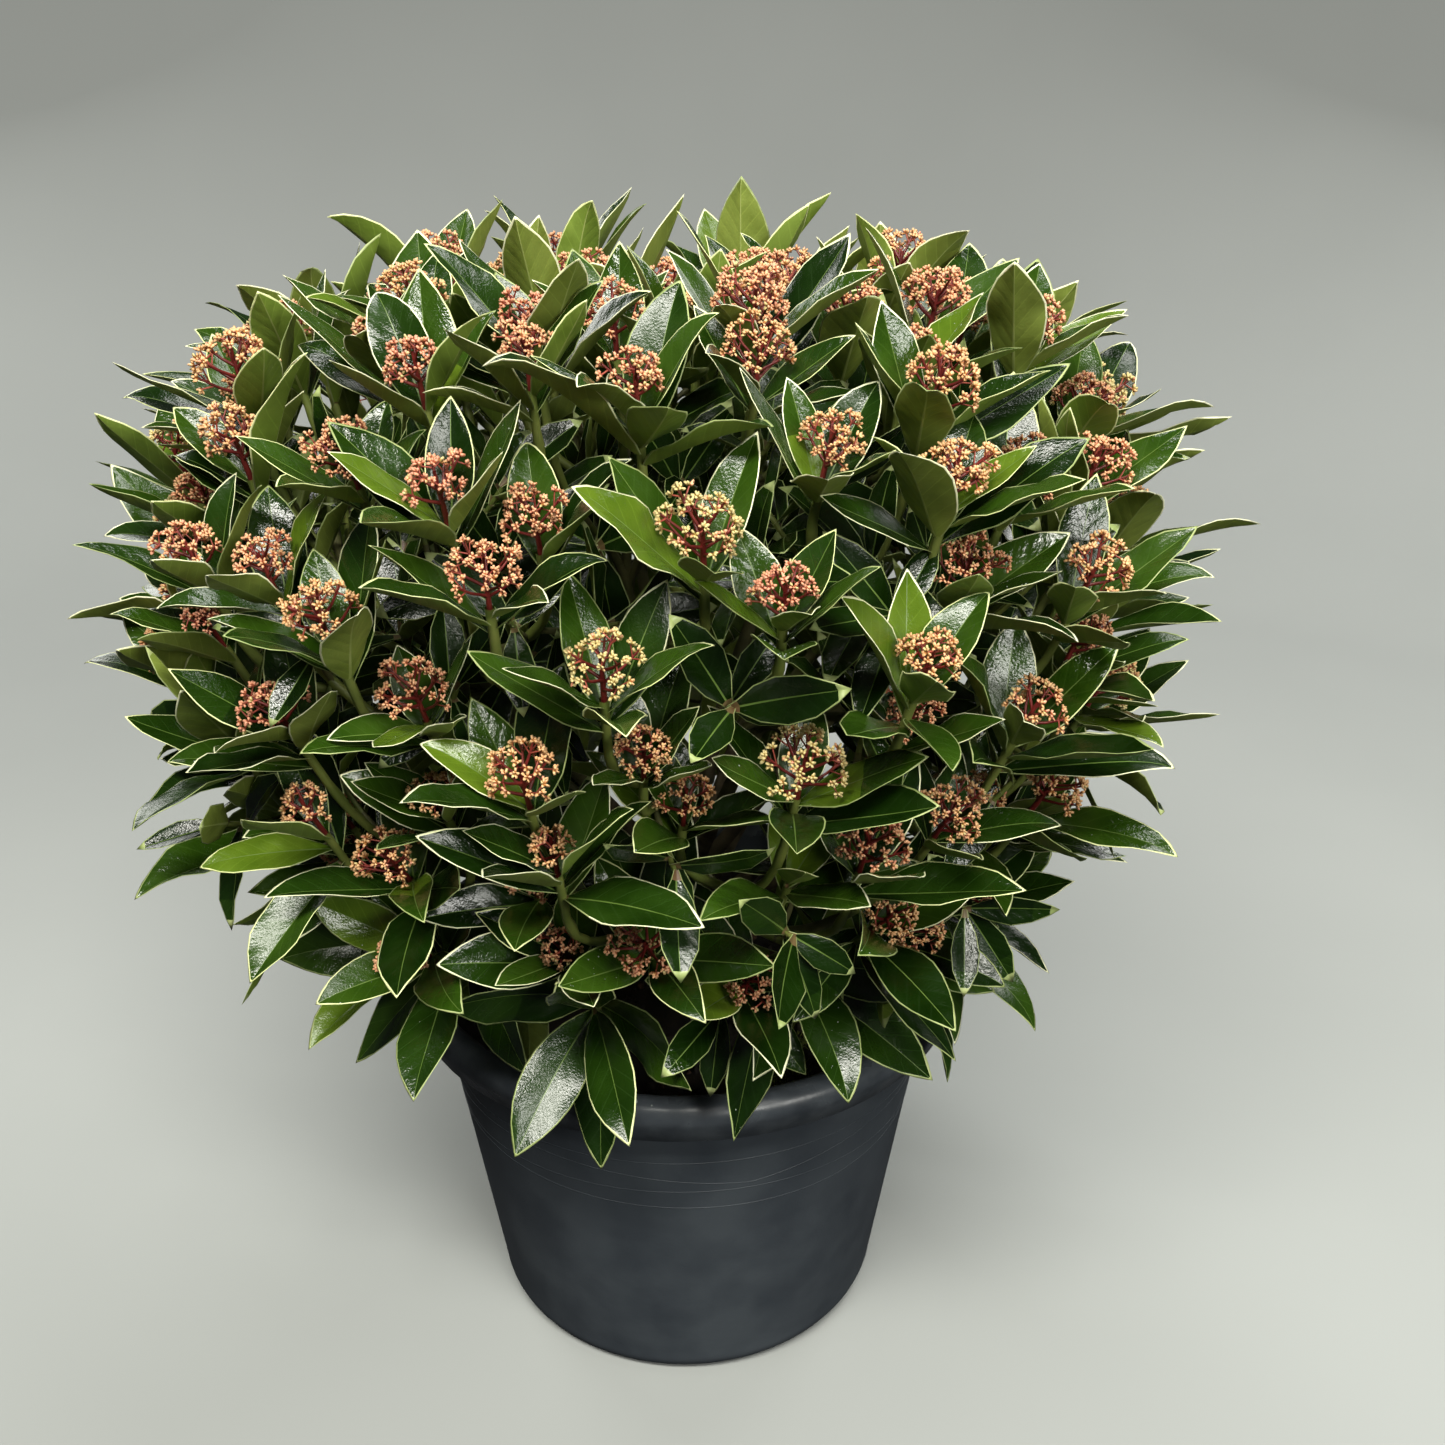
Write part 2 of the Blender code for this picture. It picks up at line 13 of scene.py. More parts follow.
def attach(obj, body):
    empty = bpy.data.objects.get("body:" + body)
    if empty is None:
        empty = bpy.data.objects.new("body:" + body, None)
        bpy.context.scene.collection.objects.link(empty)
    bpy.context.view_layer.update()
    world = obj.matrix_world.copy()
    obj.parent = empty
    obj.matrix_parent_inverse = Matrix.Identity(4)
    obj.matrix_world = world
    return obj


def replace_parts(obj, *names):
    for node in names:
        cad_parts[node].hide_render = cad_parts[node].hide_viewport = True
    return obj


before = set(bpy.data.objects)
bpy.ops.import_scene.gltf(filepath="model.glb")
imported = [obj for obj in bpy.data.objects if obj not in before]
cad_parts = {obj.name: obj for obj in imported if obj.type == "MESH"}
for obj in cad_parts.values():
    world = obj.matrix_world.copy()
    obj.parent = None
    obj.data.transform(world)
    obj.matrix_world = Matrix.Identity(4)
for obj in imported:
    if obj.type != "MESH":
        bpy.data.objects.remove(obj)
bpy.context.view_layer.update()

MM = 0.001
CLEAR = 0.3 * MM
UP = Vector((0.0, 0.0, 1.0))
SEED = 418
GOLDEN = math.radians(137.5)

# Camera, at the photograph's viewing angle
CAMERA_PLACE = (0.018, -0.576, 0.523)
CAMERA_TILT = math.radians(68)
CAMERA_LENS = 34.2
CAMERA_SENSOR = 36

# Pot, measured from the middle of its underside
POT_HEIGHT = 180 * MM
POT_LIP_RADIUS = 133 * MM
POT_NECK_RADIUS = 117 * MM
POT_FOOT_RADIUS = 95.5 * MM
POT_FOOT_ROUNDING = 11 * MM
POT_LIP_DEPTH = 24 * MM
POT_LIP_ROUNDING = 7 * MM
POT_LIP_UNDERCUT = 5 * MM
POT_LIP_SLOPE = 4 * MM
POT_LIP_INNER = (2 * MM, 5 * MM)
POT_WALL = 2.5 * MM
POT_SIDES = 160
# The streak of water on the lip: its middle and half its length, in degrees
WET_BEARING = -106.0
WET_SPREAD = 12.0
SOIL_TOP = 160 * MM
SOIL_GAP = 0.6 * MM

# Trunk
TRUNK_FOOT = Vector((3 * MM, 0.0, SOIL_TOP + CLEAR))
TRUNK_TOP = Vector((-2 * MM, 1 * MM, 236 * MM))
TRUNK_RADIUS = 12.5 * MM
TRUNK_FLARE = 0.7
TRUNK_FLARE_FADE = 6.0
TRUNK_TAPER = 0.2

# Crown
CROWN_CENTRE = Vector((-9 * MM, 0.0, 310 * MM))
CROWN_REACH = 202 * MM
CROWN_RISE = 168 * MM
CROWN_SQUARENESS = 3.2
# Rings of shoots: height angle, number, bearing of the first, share of the reach, whether they flower
SHOOT_RINGS = (
    (-28, 8, 12, 0.79, True),
    (-15, 11, 0, 0.83, True),
    (-2, 12, -9, 0.93, True),
    (11, 14, -12, 0.97, True),
    (23, 14, -2, 0.99, True),
    (35, 13, 6, 0.99, True),
    (47, 11, 3, 1.0, True),
    (60, 8, -20, 1.0, True),
    (74, 5, -10, 0.96, True),
    (88, 1, 145, 0.95, True),
)
SHOOT_SWAY = 3.5
SHOOT_REACH = (0.96, 1.03)
SHOOT_UPTURN = 2.1
LOW_UPTURN = 2.0
SET_BACK = 5 * MM
SHOOT_LEAN = 0.16
# Leafy shoots below the rings, whose longer leaves hang over the rim: number of the first, ring as
# above, size and sag of the leaves
SKIRT_NUMBER = 150
SKIRT_RING = (-38, 10, 27, 0.71)
SKIRT_LEAVES = 1.16
SKIRT_SAG = 0.55
# Masses of foliage: name, height angle of the middle, number, bearing of the first, height of the fork
MASS_RINGS = (
    ("low", -4, 8, 10, 187 * MM),
    ("middle", 34, 6, 20, 206 * MM),
    ("top", 68, 3, -35, 214 * MM),
)

# Limbs
BOUGH_RADII = (3.8 * MM, 2.9 * MM)
BOUGH_SHARE = 0.5
BOUGH_BOW = 7 * MM
BOUGH_HANDLES = (0.4, 0.7)
STEM_LENGTH = 24 * MM
STEM_END = 2.5 * MM
TWIG_RADII = (2.0 * MM, 1.7 * MM)
TWIG_STEPS = 9
TWIG_HANDLES = (0.3, 0.4)
TWIG_START = (0.5, 0.95)
TWIG_SLIDES = (0.9, 0.75, 0.6, 0.45, 0.3)
ROSETTE_DEPTH = 23 * MM
STALK_LENGTH = 19 * MM
STALK_RADIUS = 1.5 * MM
HEAD_RADIUS = (11.8 * MM, 17 * MM)
HEAD_TRIES = (1.0, 0.85, 0.7, 0.55)
# The space that leaves leave open in front of a head: its slope, its length, and its width as a
# share of the head's
VIEW_RISE = 0.4
VIEW_LENGTH = 24 * MM
VIEW_WIDTH = 0.7
# Leaves and heads have these shares of their full size at the very front, and reach it by the middle
FRONT_LEAVES = 0.74
FRONT_HEADS = 0.84
FRONT_DEPTH = 0.2

# Second shoots, which fork from a first shoot's twig and fill the spaces between the rosettes
SECOND_NUMBER = 200
SECOND_RISE = 5.0
SECOND_REACH = (0.88, 0.99)
SECOND_FORKS = (0.62, 0.5, 0.38, 0.26)
SECOND_PARENTS = 3
SECOND_DEPTH = 14 * MM
SECOND_SIZE = 0.9
SECOND_LEAVES = 7

# Finer twigs, which leave a shoot's twig inside the crown and carry leaves of their own
SIDE_SHOOTS = 2
SIDE_FROM = 0.0
SIDE_START = (0.3, 0.9)
SIDE_LENGTH = (26 * MM, 40 * MM)
SIDE_RADII = (1.3 * MM, 1.0 * MM)
SIDE_LEAVES = 5
SIDE_STEPS = 4
SIDE_TURN_OUT = 1.1
SIDE_TURN_UP = 0.3
SIDE_BOW = 0.35
# Their leaves: pitch of the first and more for each next one, stray of pitch and turn, length, age
SIDE_PITCH = (48, 12)
SIDE_PITCH_STRAY = 8
SIDE_TURN_STRAY = 0.2
SIDE_LEAF_LENGTH = (42 * MM, 58 * MM)
SIDE_AGE = 0.8

# Leaves
LEAVES = 8
LEAF_STEP = 2.5 * MM
FIRST_LEAF = 0.6
LEAF_PITCH = (27.0, 6.4)
TOP_PITCH = 0.42
LEAF_SPREAD = 0.3
LEAF_RISE = 0.32
LEAF_LENGTH = (61 * MM, 1.9 * MM)
LEAF_WIDTH = 0.36
LEAF_SUNK = 0.9 * MM
LEAF_BEND = (-0.3, 0.32)
TOP_STRAIGHTER = 0.6
OLDER_LOW = 0.9
LEAF_SAG = 0.1
LEAF_STRAY = {"turn": 9.0, "pitch": 6.0, "roll": 17.0}
LEAF_SIZES = (0.88, 1.1)
LEAF_TRIES = (
    (0, 0, 1.0),
    (9, 0, 1.0),
    (0, 14, 1.0),
    (0, -14, 1.0),
    (-9, 8, 1.0),
    (18, -8, 0.95),
    (12, 24, 0.92),
    (12, -24, 0.92),
    (-14, -16, 0.88),
    (26, 0, 0.85),
    (20, 40, 0.8),
    (20, -40, 0.8),
)
INTERLEAVE = 32 * MM
# Stations along a leaf, as shares of its length, for the mesh and for the contact test
LEAF_STATIONS = np.array((0.0, 0.06, 0.14, 0.24, 0.34, 0.44, 0.54, 0.64, 0.74, 0.84, 0.92, 0.975))
LEAF_STATIONS_INNER = np.array((0.0, 0.1, 0.28, 0.5, 0.72, 0.9))
LEAF_COARSE = np.array((0.05, 0.3, 0.55, 0.8, 1.0))
# The margin's width as a share of the leaf's length, how much wider it gets at the tip and from where,
# and the most of half the blade that it may take
MARGIN = 0.0088
TIP_MARGIN = 1.6
TIP_FROM = 0.85
MARGIN_MOST = 0.62
# The midrib: half its width at the foot, how it narrows, its most as a share of half the blade, how
# deep it lies, and how much wider it is below
VEIN = 0.28 * MM
VEIN_TAPER = 1.25
VEIN_MOST = 0.3
VEIN_GROOVE = 0.12 * MM
LOW_RIB_WIDTH = 1.7
# The blade: its thickness, the half width from which it is full, the least share of it where the leaf
# is narrower, and how many times as thick it is at each point below
BLADE = 0.4 * MM
BLADE_FULL_FROM = 4 * MM
BLADE_LEAST = 0.3
BLADE_BELOW = np.array((0.8, 1.0, 2.2, 2.2, 1.0, 0.8))
PETIOLE = 1.0 * MM
# Side veins on each half of a leaf, how far they slant, and where their run starts
VEINS = 8.0
VEIN_SLANT = 1.9
VEIN_START = 3.0
# The outline's powers towards the foot and the tip, and how the midrib, roll, edge and ripple run
LEAF_OUTLINE = (1.15, 1.0)
MIDRIB_STEPS = 24
HOOK_POWER = 6
ROLL_AT_FOOT = 0.4
ROLL_ALONG = 0.9
EDGE_CURL = 0.12
RIPPLE_SHIFT = 1.9
# How leaves vary: width, fold in degrees, size and number of the ripples, hook at the tip, and the
# chances of a wet top and a dull margin
LEAF_WIDTHS = (0.9, 1.1)
LEAF_FOLD = (9, 31)
LEAF_RIPPLE = (0.05, 0.17)
LEAF_WAVES = (1.2, 2.4)
LEAF_HOOK = (-0.3, 0.7)
WET_CHANCE = 0.34
DULL_CHANCE = 0.6
# The greens that young and old leaves are drawn from, and the two kinds of margin
YOUNG_TINTS = (1, 2, 2, 3)
OLD_TINTS = (0, 0, 1, 2)
PALE_TINTS = (0, 0, 1)

# Flower heads: branches up the stalk to a dome, each with small clusters of buds
HEAD_USUAL = 14.7 * MM
HEAD_BRANCHES = 11
HEAD_TOP = 21 * MM
DOME_MIDDLE = 17 * MM
DOME_EDGE = math.radians(104)
DOME_FLATNESS = 0.86
DOME_REACH = (0.66, 1.06)
BRANCH_CLUSTERS = 4
CLUSTER_BUDS = (5, 7)
CLUSTER_APART = 3.7 * MM
BUD_LENGTH = (1.9 * MM, 2.6 * MM)
BUD_RADIUS = (0.66 * MM, 0.83 * MM)
BUD_SPREAD = math.radians(80)
BUD_STRAY = 0.15
# Radii along the main stalk, along a branch, and along the fine stalks to the clusters
HEAD_RADII = (1.3 * MM, 1.1 * MM, 0.7 * MM)
BRANCH_RADII = (0.75 * MM, 0.6 * MM, 0.4 * MM)
FINE_RADII = (0.42 * MM, 0.34 * MM)
HEAD_FOOT = 2 * MM
HEAD_JOINT = 9 * MM
LOWEST_BRANCH = 4 * MM
# Branches: least and most, how far they turn from an even spread, the tries and how much shorter
# each is, how far below its cluster one leaves the stalk, how far along it bends, and how deep
BRANCHES = (6, 12)
BRANCH_STRAY = 0.2
BRANCH_TRIES = 4
BRANCH_SHORTER = 0.8
BRANCH_DROP = 0.75
BRANCH_BEND = 0.55
BRANCH_SAG = 0.8 * MM
# The clusters beside a branch's end: how far they lie back, their spacing, where they fork and
# how far outward they face
CLUSTER_BACK = 0.35
CLUSTER_SPACING = (0.8, 1.2)
CLUSTER_FORK = (0.2, 0.7)
CLUSTER_OUT = 0.8
# Chances of each hue of a head, and of a bud that has its head's hue
HEAD_HUES = (0.44, 0.41, 0.10, 0.05)
SAME_HUE = 0.8


@dataclass
class Shoot:
    """One leafy shoot: where its rosette sits, the way it points, and its own random numbers."""

    number: int
    rise: float
    bearing: float
    node: Vector
    axis: Vector
    flowers: bool
    draw: random.Random
    mass: str = ""
    size: float = 1.0
    head_size: float = 1.0
    leaves: int = 0
    depth: float = 0.0
    skirt: bool = False


@dataclass
class Mass:
    """One mass of foliage: its shoots, the bough that carries it, and its own stem."""

    name: str
    rise: float
    bearing: float
    fork: Vector
    shoots: list
    bough: list
    stem: list


@dataclass
class Leaf:
    """One leaf: where it grows, how it runs and bends, its size, and its tints."""

    root: Vector
    aim: Vector
    level: Vector
    back: Vector
    length: float
    width: float
    bend: float
    sag: float
    roll: float
    fold: float
    ripple: tuple
    hook: float
    tint: int
    pale: int
    wet: bool
    dull: bool
    inner: bool = False


def compass(bearing):
    return Vector((math.sin(bearing), -math.cos(bearing), 0.0))


def sky_way(rise, bearing):
    return compass(bearing) * math.cos(rise) + UP * math.sin(rise)


def crown_point(rise, bearing, share):
    """Point on the crown's rounded surface, given by angles before it is flattened."""
    level, up = math.cos(rise), math.sin(rise)
    swell = (abs(level) ** CROWN_SQUARENESS + abs(up) ** CROWN_SQUARENESS) ** (-1 / CROWN_SQUARENESS)
    out = compass(bearing) * level * CROWN_REACH + UP * up * CROWN_RISE
    return CROWN_CENTRE + out * swell * share


def any_way(draw):
    return Vector((draw.uniform(-1, 1), draw.uniform(-1, 1), draw.uniform(-1, 1)))


def bezier(points, t):
    while len(points) > 1:
        points = [a.lerp(b, t) for a, b in zip(points, points[1:])]
    return points[0]


def taper(ends, count):
    return [ends[0] + (ends[1] - ends[0]) * k / (count - 1) for k in range(count)]


def limb(points, radii, sides):
    """(points, faces) of a closed limb: a ring of corners at each point, and flat ends."""
    corners = []
    side = None
    for k, (point, radius) in enumerate(zip(points, radii)):
        way = (points[min(k + 1, len(points) - 1)] - points[max(k - 1, 0)]).normalized()
        side = way.orthogonal() if side is None else side - way * side.dot(way)
        side.normalize()
        across = way.cross(side)
        for i in range(sides):
            turn = 2 * math.pi * i / sides
            corners.append(point + (side * math.cos(turn) + across * math.sin(turn)) * radius)
    faces = [tuple(reversed(range(sides))), tuple(range(len(corners) - sides, len(corners)))]
    for ring in range(0, len(corners) - sides, sides):
        for i in range(sides):
            j = (i + 1) % sides
            faces.append((ring + i, ring + j, ring + sides + j, ring + sides + i))
    return corners, faces


class Crowd:
    """The shapes placed so far, asked whether a new one would touch them."""

    def __init__(self, room=8192):
        self.trees = []
        self.owners = []
        self.middles = np.empty((room, 3))
        self.radii = np.empty(room)

    def entry(self, shape):
        points = np.array(shape[0])
        middle = points.mean(0)
        radius = np.linalg.norm(points - middle, axis=1).max()
        return BVHTree.FromPolygons(shape[0], shape[1]), middle, radius

    def add(self, shape, owner):
        tree, middle, radius = self.entry(shape)
        self.middles[len(self.trees)] = middle
        self.radii[len(self.trees)] = radius
        self.trees.append(tree)
        self.owners.append(owner)

    def hits(self, shape, leave_out=()):
        tree, middle, radius = self.entry(shape)
        count = len(self.trees)
        apart = np.linalg.norm(self.middles[:count] - middle, axis=1)
        for other in np.flatnonzero(apart < self.radii[:count] + radius):
            if self.owners[other] not in leave_out and tree.overlap(self.trees[other]):
                return True
        return False


def size_at(node, front):
    """The share of full size at a place, given the share at the very front."""
    return front + (1 - front) * min(max(node.y / FRONT_DEPTH + 1, 0.0), 1.0)


def shoot_axis(out, rise, draw):
    """The way that a shoot points: up and out, and less up on the lower rings."""
    upturn = SHOOT_UPTURN - LOW_UPTURN * max(-math.sin(rise), 0.0)
    return (out + UP * upturn + any_way(draw) * SHOOT_LEAN).normalized()


def grow_shoot(number, draw, rise, bearing, share, flowers, size=1.0, reach=SHOOT_REACH, set_back=0.0):
    """A shoot near these angles on the crown, with the size that suits its place."""
    bearing = math.radians(bearing + draw.uniform(-SHOOT_SWAY, SHOOT_SWAY))
    height = math.radians(rise + draw.uniform(-SHOOT_SWAY, SHOOT_SWAY))
    node = crown_point(height, bearing, share * draw.uniform(*reach))
    out = (node - CROWN_CENTRE).normalized()
    node -= out * set_back
    shoot = Shoot(number, height, bearing, node, shoot_axis(out, height, draw), flowers, draw)
    shoot.size = size * size_at(node, FRONT_LEAVES)
    shoot.head_size = size * size_at(node, FRONT_HEADS)
    shoot.leaves, shoot.depth = SECOND_LEAVES, SECOND_DEPTH
    return shoot


def lay_out_shoots():
    shoots = []
    for rise, count, first, share, flowers in SHOOT_RINGS:
        for k in range(count):
            number = len(shoots)
            draw = random.Random(SEED * 1000 + number)
            bearing = first + 360 * k / count
            shoot = grow_shoot(number, draw, rise, bearing, share, flowers, set_back=SET_BACK)
            shoot.leaves, shoot.depth = LEAVES, ROSETTE_DEPTH
            shoots.append(shoot)
    return shoots


def grow_skirt(masses):
    """Shoots without flowers round the foot of the crown, each from the mass that is nearest."""
    rise, count, first, share = SKIRT_RING
    for k in range(count):
        draw = random.Random(f"{SEED} skirt {k}")
        bearing = first + 360 * k / count
        shoot = grow_shoot(SKIRT_NUMBER + k, draw, rise, bearing, share, False, SKIRT_LEAVES)
        shoot.skirt = True
        low = [mass for mass in masses if mass.name.startswith("low")]
        nearest = max(low, key=lambda mass: math.cos(shoot.bearing - mass.bearing))
        shoot.mass = nearest.name
        nearest.shoots.append(shoot)


def lay_out_masses(shoots):
    """Masses in rings, each shoot in the one whose middle is nearest."""
    masses = []
    for name, rise, count, first, fork in MASS_RINGS:
        share = (fork - TRUNK_FOOT.z) / (TRUNK_TOP.z - TRUNK_FOOT.z)
        start = TRUNK_FOOT.lerp(TRUNK_TOP, share)
        for k in range(count):
            bearing = math.radians(first + 360 * k / count)
            masses.append(Mass(f"{name}_{k + 1}", math.radians(rise), bearing, start, [], [], []))
    for shoot in shoots:
        way = sky_way(shoot.rise, shoot.bearing)
        nearest = max(masses, key=lambda mass: way.dot(sky_way(mass.rise, mass.bearing)))
        nearest.shoots.append(shoot)
        shoot.mass = nearest.name
    for mass in masses:
        mass.bough = bough_route(mass)
        end = bezier(mass.bough, 1.0)
        way = (end - bezier(mass.bough, 2 / 3)).normalized()
        start = end + way * CLEAR
        mass.stem = [start, start + way * STEM_LENGTH]
    return masses


def bough_route(mass):
    """Control points of the bough's curve, from inside the trunk to where it enters its mass."""
    middle = sum((shoot.node for shoot in mass.shoots), Vector()) / len(mass.shoots)
    end = mass.fork.lerp(middle, BOUGH_SHARE)
    draw = random.Random(f"{SEED} {mass.name}")
    bow = any_way(draw) * BOUGH_BOW
    near, far = (mass.fork.lerp(end, handle) for handle in BOUGH_HANDLES)
    return (mass.fork, near, far + bow, end)


def twig_points(start, way, shoot):
    """A twig's route from its start, in a curve, to the straight end that carries the leaves."""
    foot = shoot.node - shoot.axis * shoot.depth
    span = (foot - start).length
    leave, arrive = (span * handle for handle in TWIG_HANDLES)
    route = (start, start + way * leave, foot - shoot.axis * arrive, foot)
    return [bezier(route, k / TWIG_STEPS) for k in range(TWIG_STEPS + 1)] + [shoot.node]


def stalk_end(shoot):
    return shoot.node + shoot.axis * STALK_LENGTH * shoot.head_size


def place_twigs(masses, crowd):
    """Every shoot's twig, from a place on its stem where it stays clear of the other masses."""
    twigs = {}
    for mass in masses:
        own = {f"stem {mass.name}"} | {f"twig {shoot.number}" for shoot in mass.shoots}
        for shoot in list(mass.shoots):
            slides = (shoot.draw.uniform(*TWIG_START), *TWIG_SLIDES)
            way = (mass.stem[1] - mass.stem[0]).normalized()
            for slide in slides:
                route = twig_points(mass.stem[0].lerp(mass.stem[1], slide), way, shoot)
                whole = route + [stalk_end(shoot)] if shoot.flowers else route
                shape = limb(whole, taper((TWIG_RADII[0], STALK_RADIUS), len(whole)), 4)
                if not crowd.hits(shape, own):
                    twigs[shoot.number] = route
                    crowd.add(shape, f"twig {shoot.number}")
                    break
            else:
                mass.shoots.remove(shoot)
    return twigs


def grow_second_shoots(masses, twigs, crowd):
    """A shoot in each space between the first ones, forked from the twig of one of its neighbours."""
    first_shoots = [(shoot, mass) for mass in masses for shoot in mass.shoots]
    number = SECOND_NUMBER
    for rise, count, first, share, flowers in SHOOT_RINGS[:-1]:
        for k in range(count):
            number += 1
            draw = random.Random(f"{SEED} second {number}")
            bearing = first + 360 * (k + 0.5) / count
            shoot = grow_shoot(
                number, draw, rise + SECOND_RISE, bearing, share, flowers, SECOND_SIZE, SECOND_REACH
            )
            near = sorted(first_shoots, key=lambda pair: (pair[0].node - shoot.node).length)
            for parent, mass in near[:SECOND_PARENTS]:
                route = fork_route(shoot, parent, twigs[parent.number], crowd)
                if route:
                    shoot.mass = mass.name
                    mass.shoots.append(shoot)
                    twigs[number] = route
                    break


def fork_route(shoot, parent, twig, crowd):
    """The route of a second shoot's twig from the first fork on its parent that leaves it clear."""
    for fork in SECOND_FORKS:
        k = int(fork * TWIG_STEPS)
        route = twig_points(twig[k], (twig[k + 1] - twig[k]).normalized(), shoot)
        whole = route[2:] + [stalk_end(shoot)]
        shape = limb(whole, taper((TWIG_RADII[1], STALK_RADIUS), len(whole)), 4)
        if not crowd.hits(shape, {f"twig {parent.number}"}):
            crowd.add(shape, f"twig {shoot.number}")
            return route
    return None


def ball(middle, radius, steps=5):
    """A coarse ball, for the contact test."""
    rings = [math.pi * k / steps - math.pi / 2 for k in range(steps + 1)]
    points = [middle + UP * math.sin(a) * radius for a in rings]
    return limb(points, [max(math.cos(a), 0.05) * radius for a in rings], 6)


def view_of_head(shoot, radius):
    """The space in front of a flower head, through which it is seen from outside."""
    way = (compass(shoot.bearing) + UP * VIEW_RISE).normalized()
    middle = stalk_end(shoot)
    ends = [middle + way * radius * 0.5, middle + way * (radius + VIEW_LENGTH)]
    return limb(ends, (radius * VIEW_WIDTH,) * 2, 6)


def place_heads(masses, crowd, views):
    """The radius of each flower head, made smaller where it would touch something."""
    heads = {}
    for mass in masses:
        for shoot in mass.shoots:
            if not shoot.flowers:
                continue
            radius = random.Random(SEED * 2000 + shoot.number).uniform(*HEAD_RADIUS) * shoot.head_size
            for share in HEAD_TRIES:
                shape = ball(stalk_end(shoot), radius * share)
                if not crowd.hits(shape, {f"twig {shoot.number}"}):
                    crowd.add(shape, f"head {shoot.number}")
                    views.add(view_of_head(shoot, radius * share), f"view {shoot.number}")
                    heads[shoot.number] = radius * share
                    break
    return heads


def leaf_frame(leaf, stations):
    """The midrib's points at the stations, and the ways along it, across the blade and out of it."""
    steps = MIDRIB_STEPS
    shares = (np.arange(steps) + 0.5) / steps
    back, aim = np.array(leaf.back), np.array(leaf.aim)
    pull = back * leaf.bend - np.array(UP) * leaf.sag
    ways = aim + shares[:, None] * pull + shares[:, None] ** HOOK_POWER * back * leaf.hook
    ways /= np.linalg.norm(ways, axis=1)[:, None]
    points = np.vstack((np.zeros(3), np.cumsum(ways, axis=0) * leaf.length / steps))
    points += np.array(leaf.root)
    knots = np.arange(steps + 1) / steps
    spine = np.stack([np.interp(stations, knots, points[:, i]) for i in range(3)], axis=1)
    way = np.stack([np.interp(stations, shares, ways[:, i]) for i in range(3)], axis=1)
    way /= np.linalg.norm(way, axis=1)[:, None]
    level = np.array(leaf.level) - way * (way @ np.array(leaf.level))[:, None]
    level /= np.linalg.norm(level, axis=1)[:, None]
    roll = (leaf.roll * (ROLL_AT_FOOT + ROLL_ALONG * stations))[:, None]
    side = level * np.cos(roll) + np.cross(level, way) * np.sin(roll)
    return spine, way, side, np.cross(side, way)


def leaf_profile(stations):
    """Half the blade's width at the stations, as a share of half its greatest width."""
    rise, fall = LEAF_OUTLINE
    widest = rise / (rise + fall)
    shape = stations**rise * (1 - stations) ** fall
    return shape / (widest**rise * (1 - widest) ** fall)


def blade_lift(leaf, stations, across, half):
    """How far a point of the blade stands out of its face: by the fold, the curl and the ripples."""
    share = np.abs(across) / np.maximum(half, 1e-6)
    size, waves, phase = leaf.ripple
    turn = 2 * math.pi * waves * stations + phase + RIPPLE_SHIFT * (across > 0)
    ripple = size * half * share**2 * np.sin(turn)
    return np.abs(across) * math.tan(leaf.fold) - EDGE_CURL * half * share**3 + ripple


def leaf_coarse(leaf):
    """(points, faces) of the leaf in a few faces, for the contact test."""
    stations = LEAF_COARSE
    spine, _, side, face = leaf_frame(leaf, stations)
    half = np.maximum(leaf_profile(stations) * leaf.width / 2, 0.2 * MM)
    across = half[:, None] * np.array((-1.0, 0.0, 1.0))
    lift = blade_lift(leaf, stations[:, None], across, half[:, None])
    points = spine[:, None] + across[..., None] * side[:, None] + lift[..., None] * face[:, None]
    faces = []
    for k in range(len(stations) - 1):
        for i in range(2):
            a = 3 * k + i
            faces.append((a, a + 1, a + 4, a + 3))
    return points.reshape(-1, 3).tolist(), faces


def leaf_fine(leaf, stations):
    """The points of the whole leaf, eight across the top and six below at each station, and where they
    lie in the run of its side veins."""
    spine, _, side, face = leaf_frame(leaf, stations)
    half = np.maximum(leaf_profile(stations) * leaf.width / 2, PETIOLE)
    half[-1] = leaf_profile(stations[-1:])[0] * leaf.width / 2
    wider = 1 + TIP_MARGIN * np.clip(stations - TIP_FROM, 0, 1) / (1 - TIP_FROM)
    margin = np.minimum(MARGIN * leaf.length * wider, MARGIN_MOST * half)
    inner = half - margin
    vein = np.minimum(VEIN * (VEIN_TAPER - stations), VEIN_MOST * inner)
    middle = (inner + vein) / 2
    top = np.stack((-half, -inner, -middle, -vein, vein, middle, inner, half), axis=1)
    rib = LOW_RIB_WIDTH * vein
    under = np.stack((-inner, -middle, -rib, rib, middle, inner), axis=1)
    across = np.concatenate((top, under), axis=1)
    lift = blade_lift(leaf, stations[:, None], across, half[:, None])
    lift[:, 3:5] -= VEIN_GROOVE
    body = np.clip(half / BLADE_FULL_FROM, BLADE_LEAST, 1.0)[:, None]
    lift[:, 8:] -= BLADE * body * BLADE_BELOW
    points = spine[:, None] + across[..., None] * side[:, None] + lift[..., None] * face[:, None]
    tip = leaf_frame(leaf, np.array((1.0,)))[0]
    veins = VEINS * stations[:, None] - VEIN_SLANT * np.abs(across) / (leaf.width / 2) + VEIN_START
    return np.vstack((points.reshape(-1, 3), tip)), np.append(veins.ravel(), VEINS + VEIN_START)


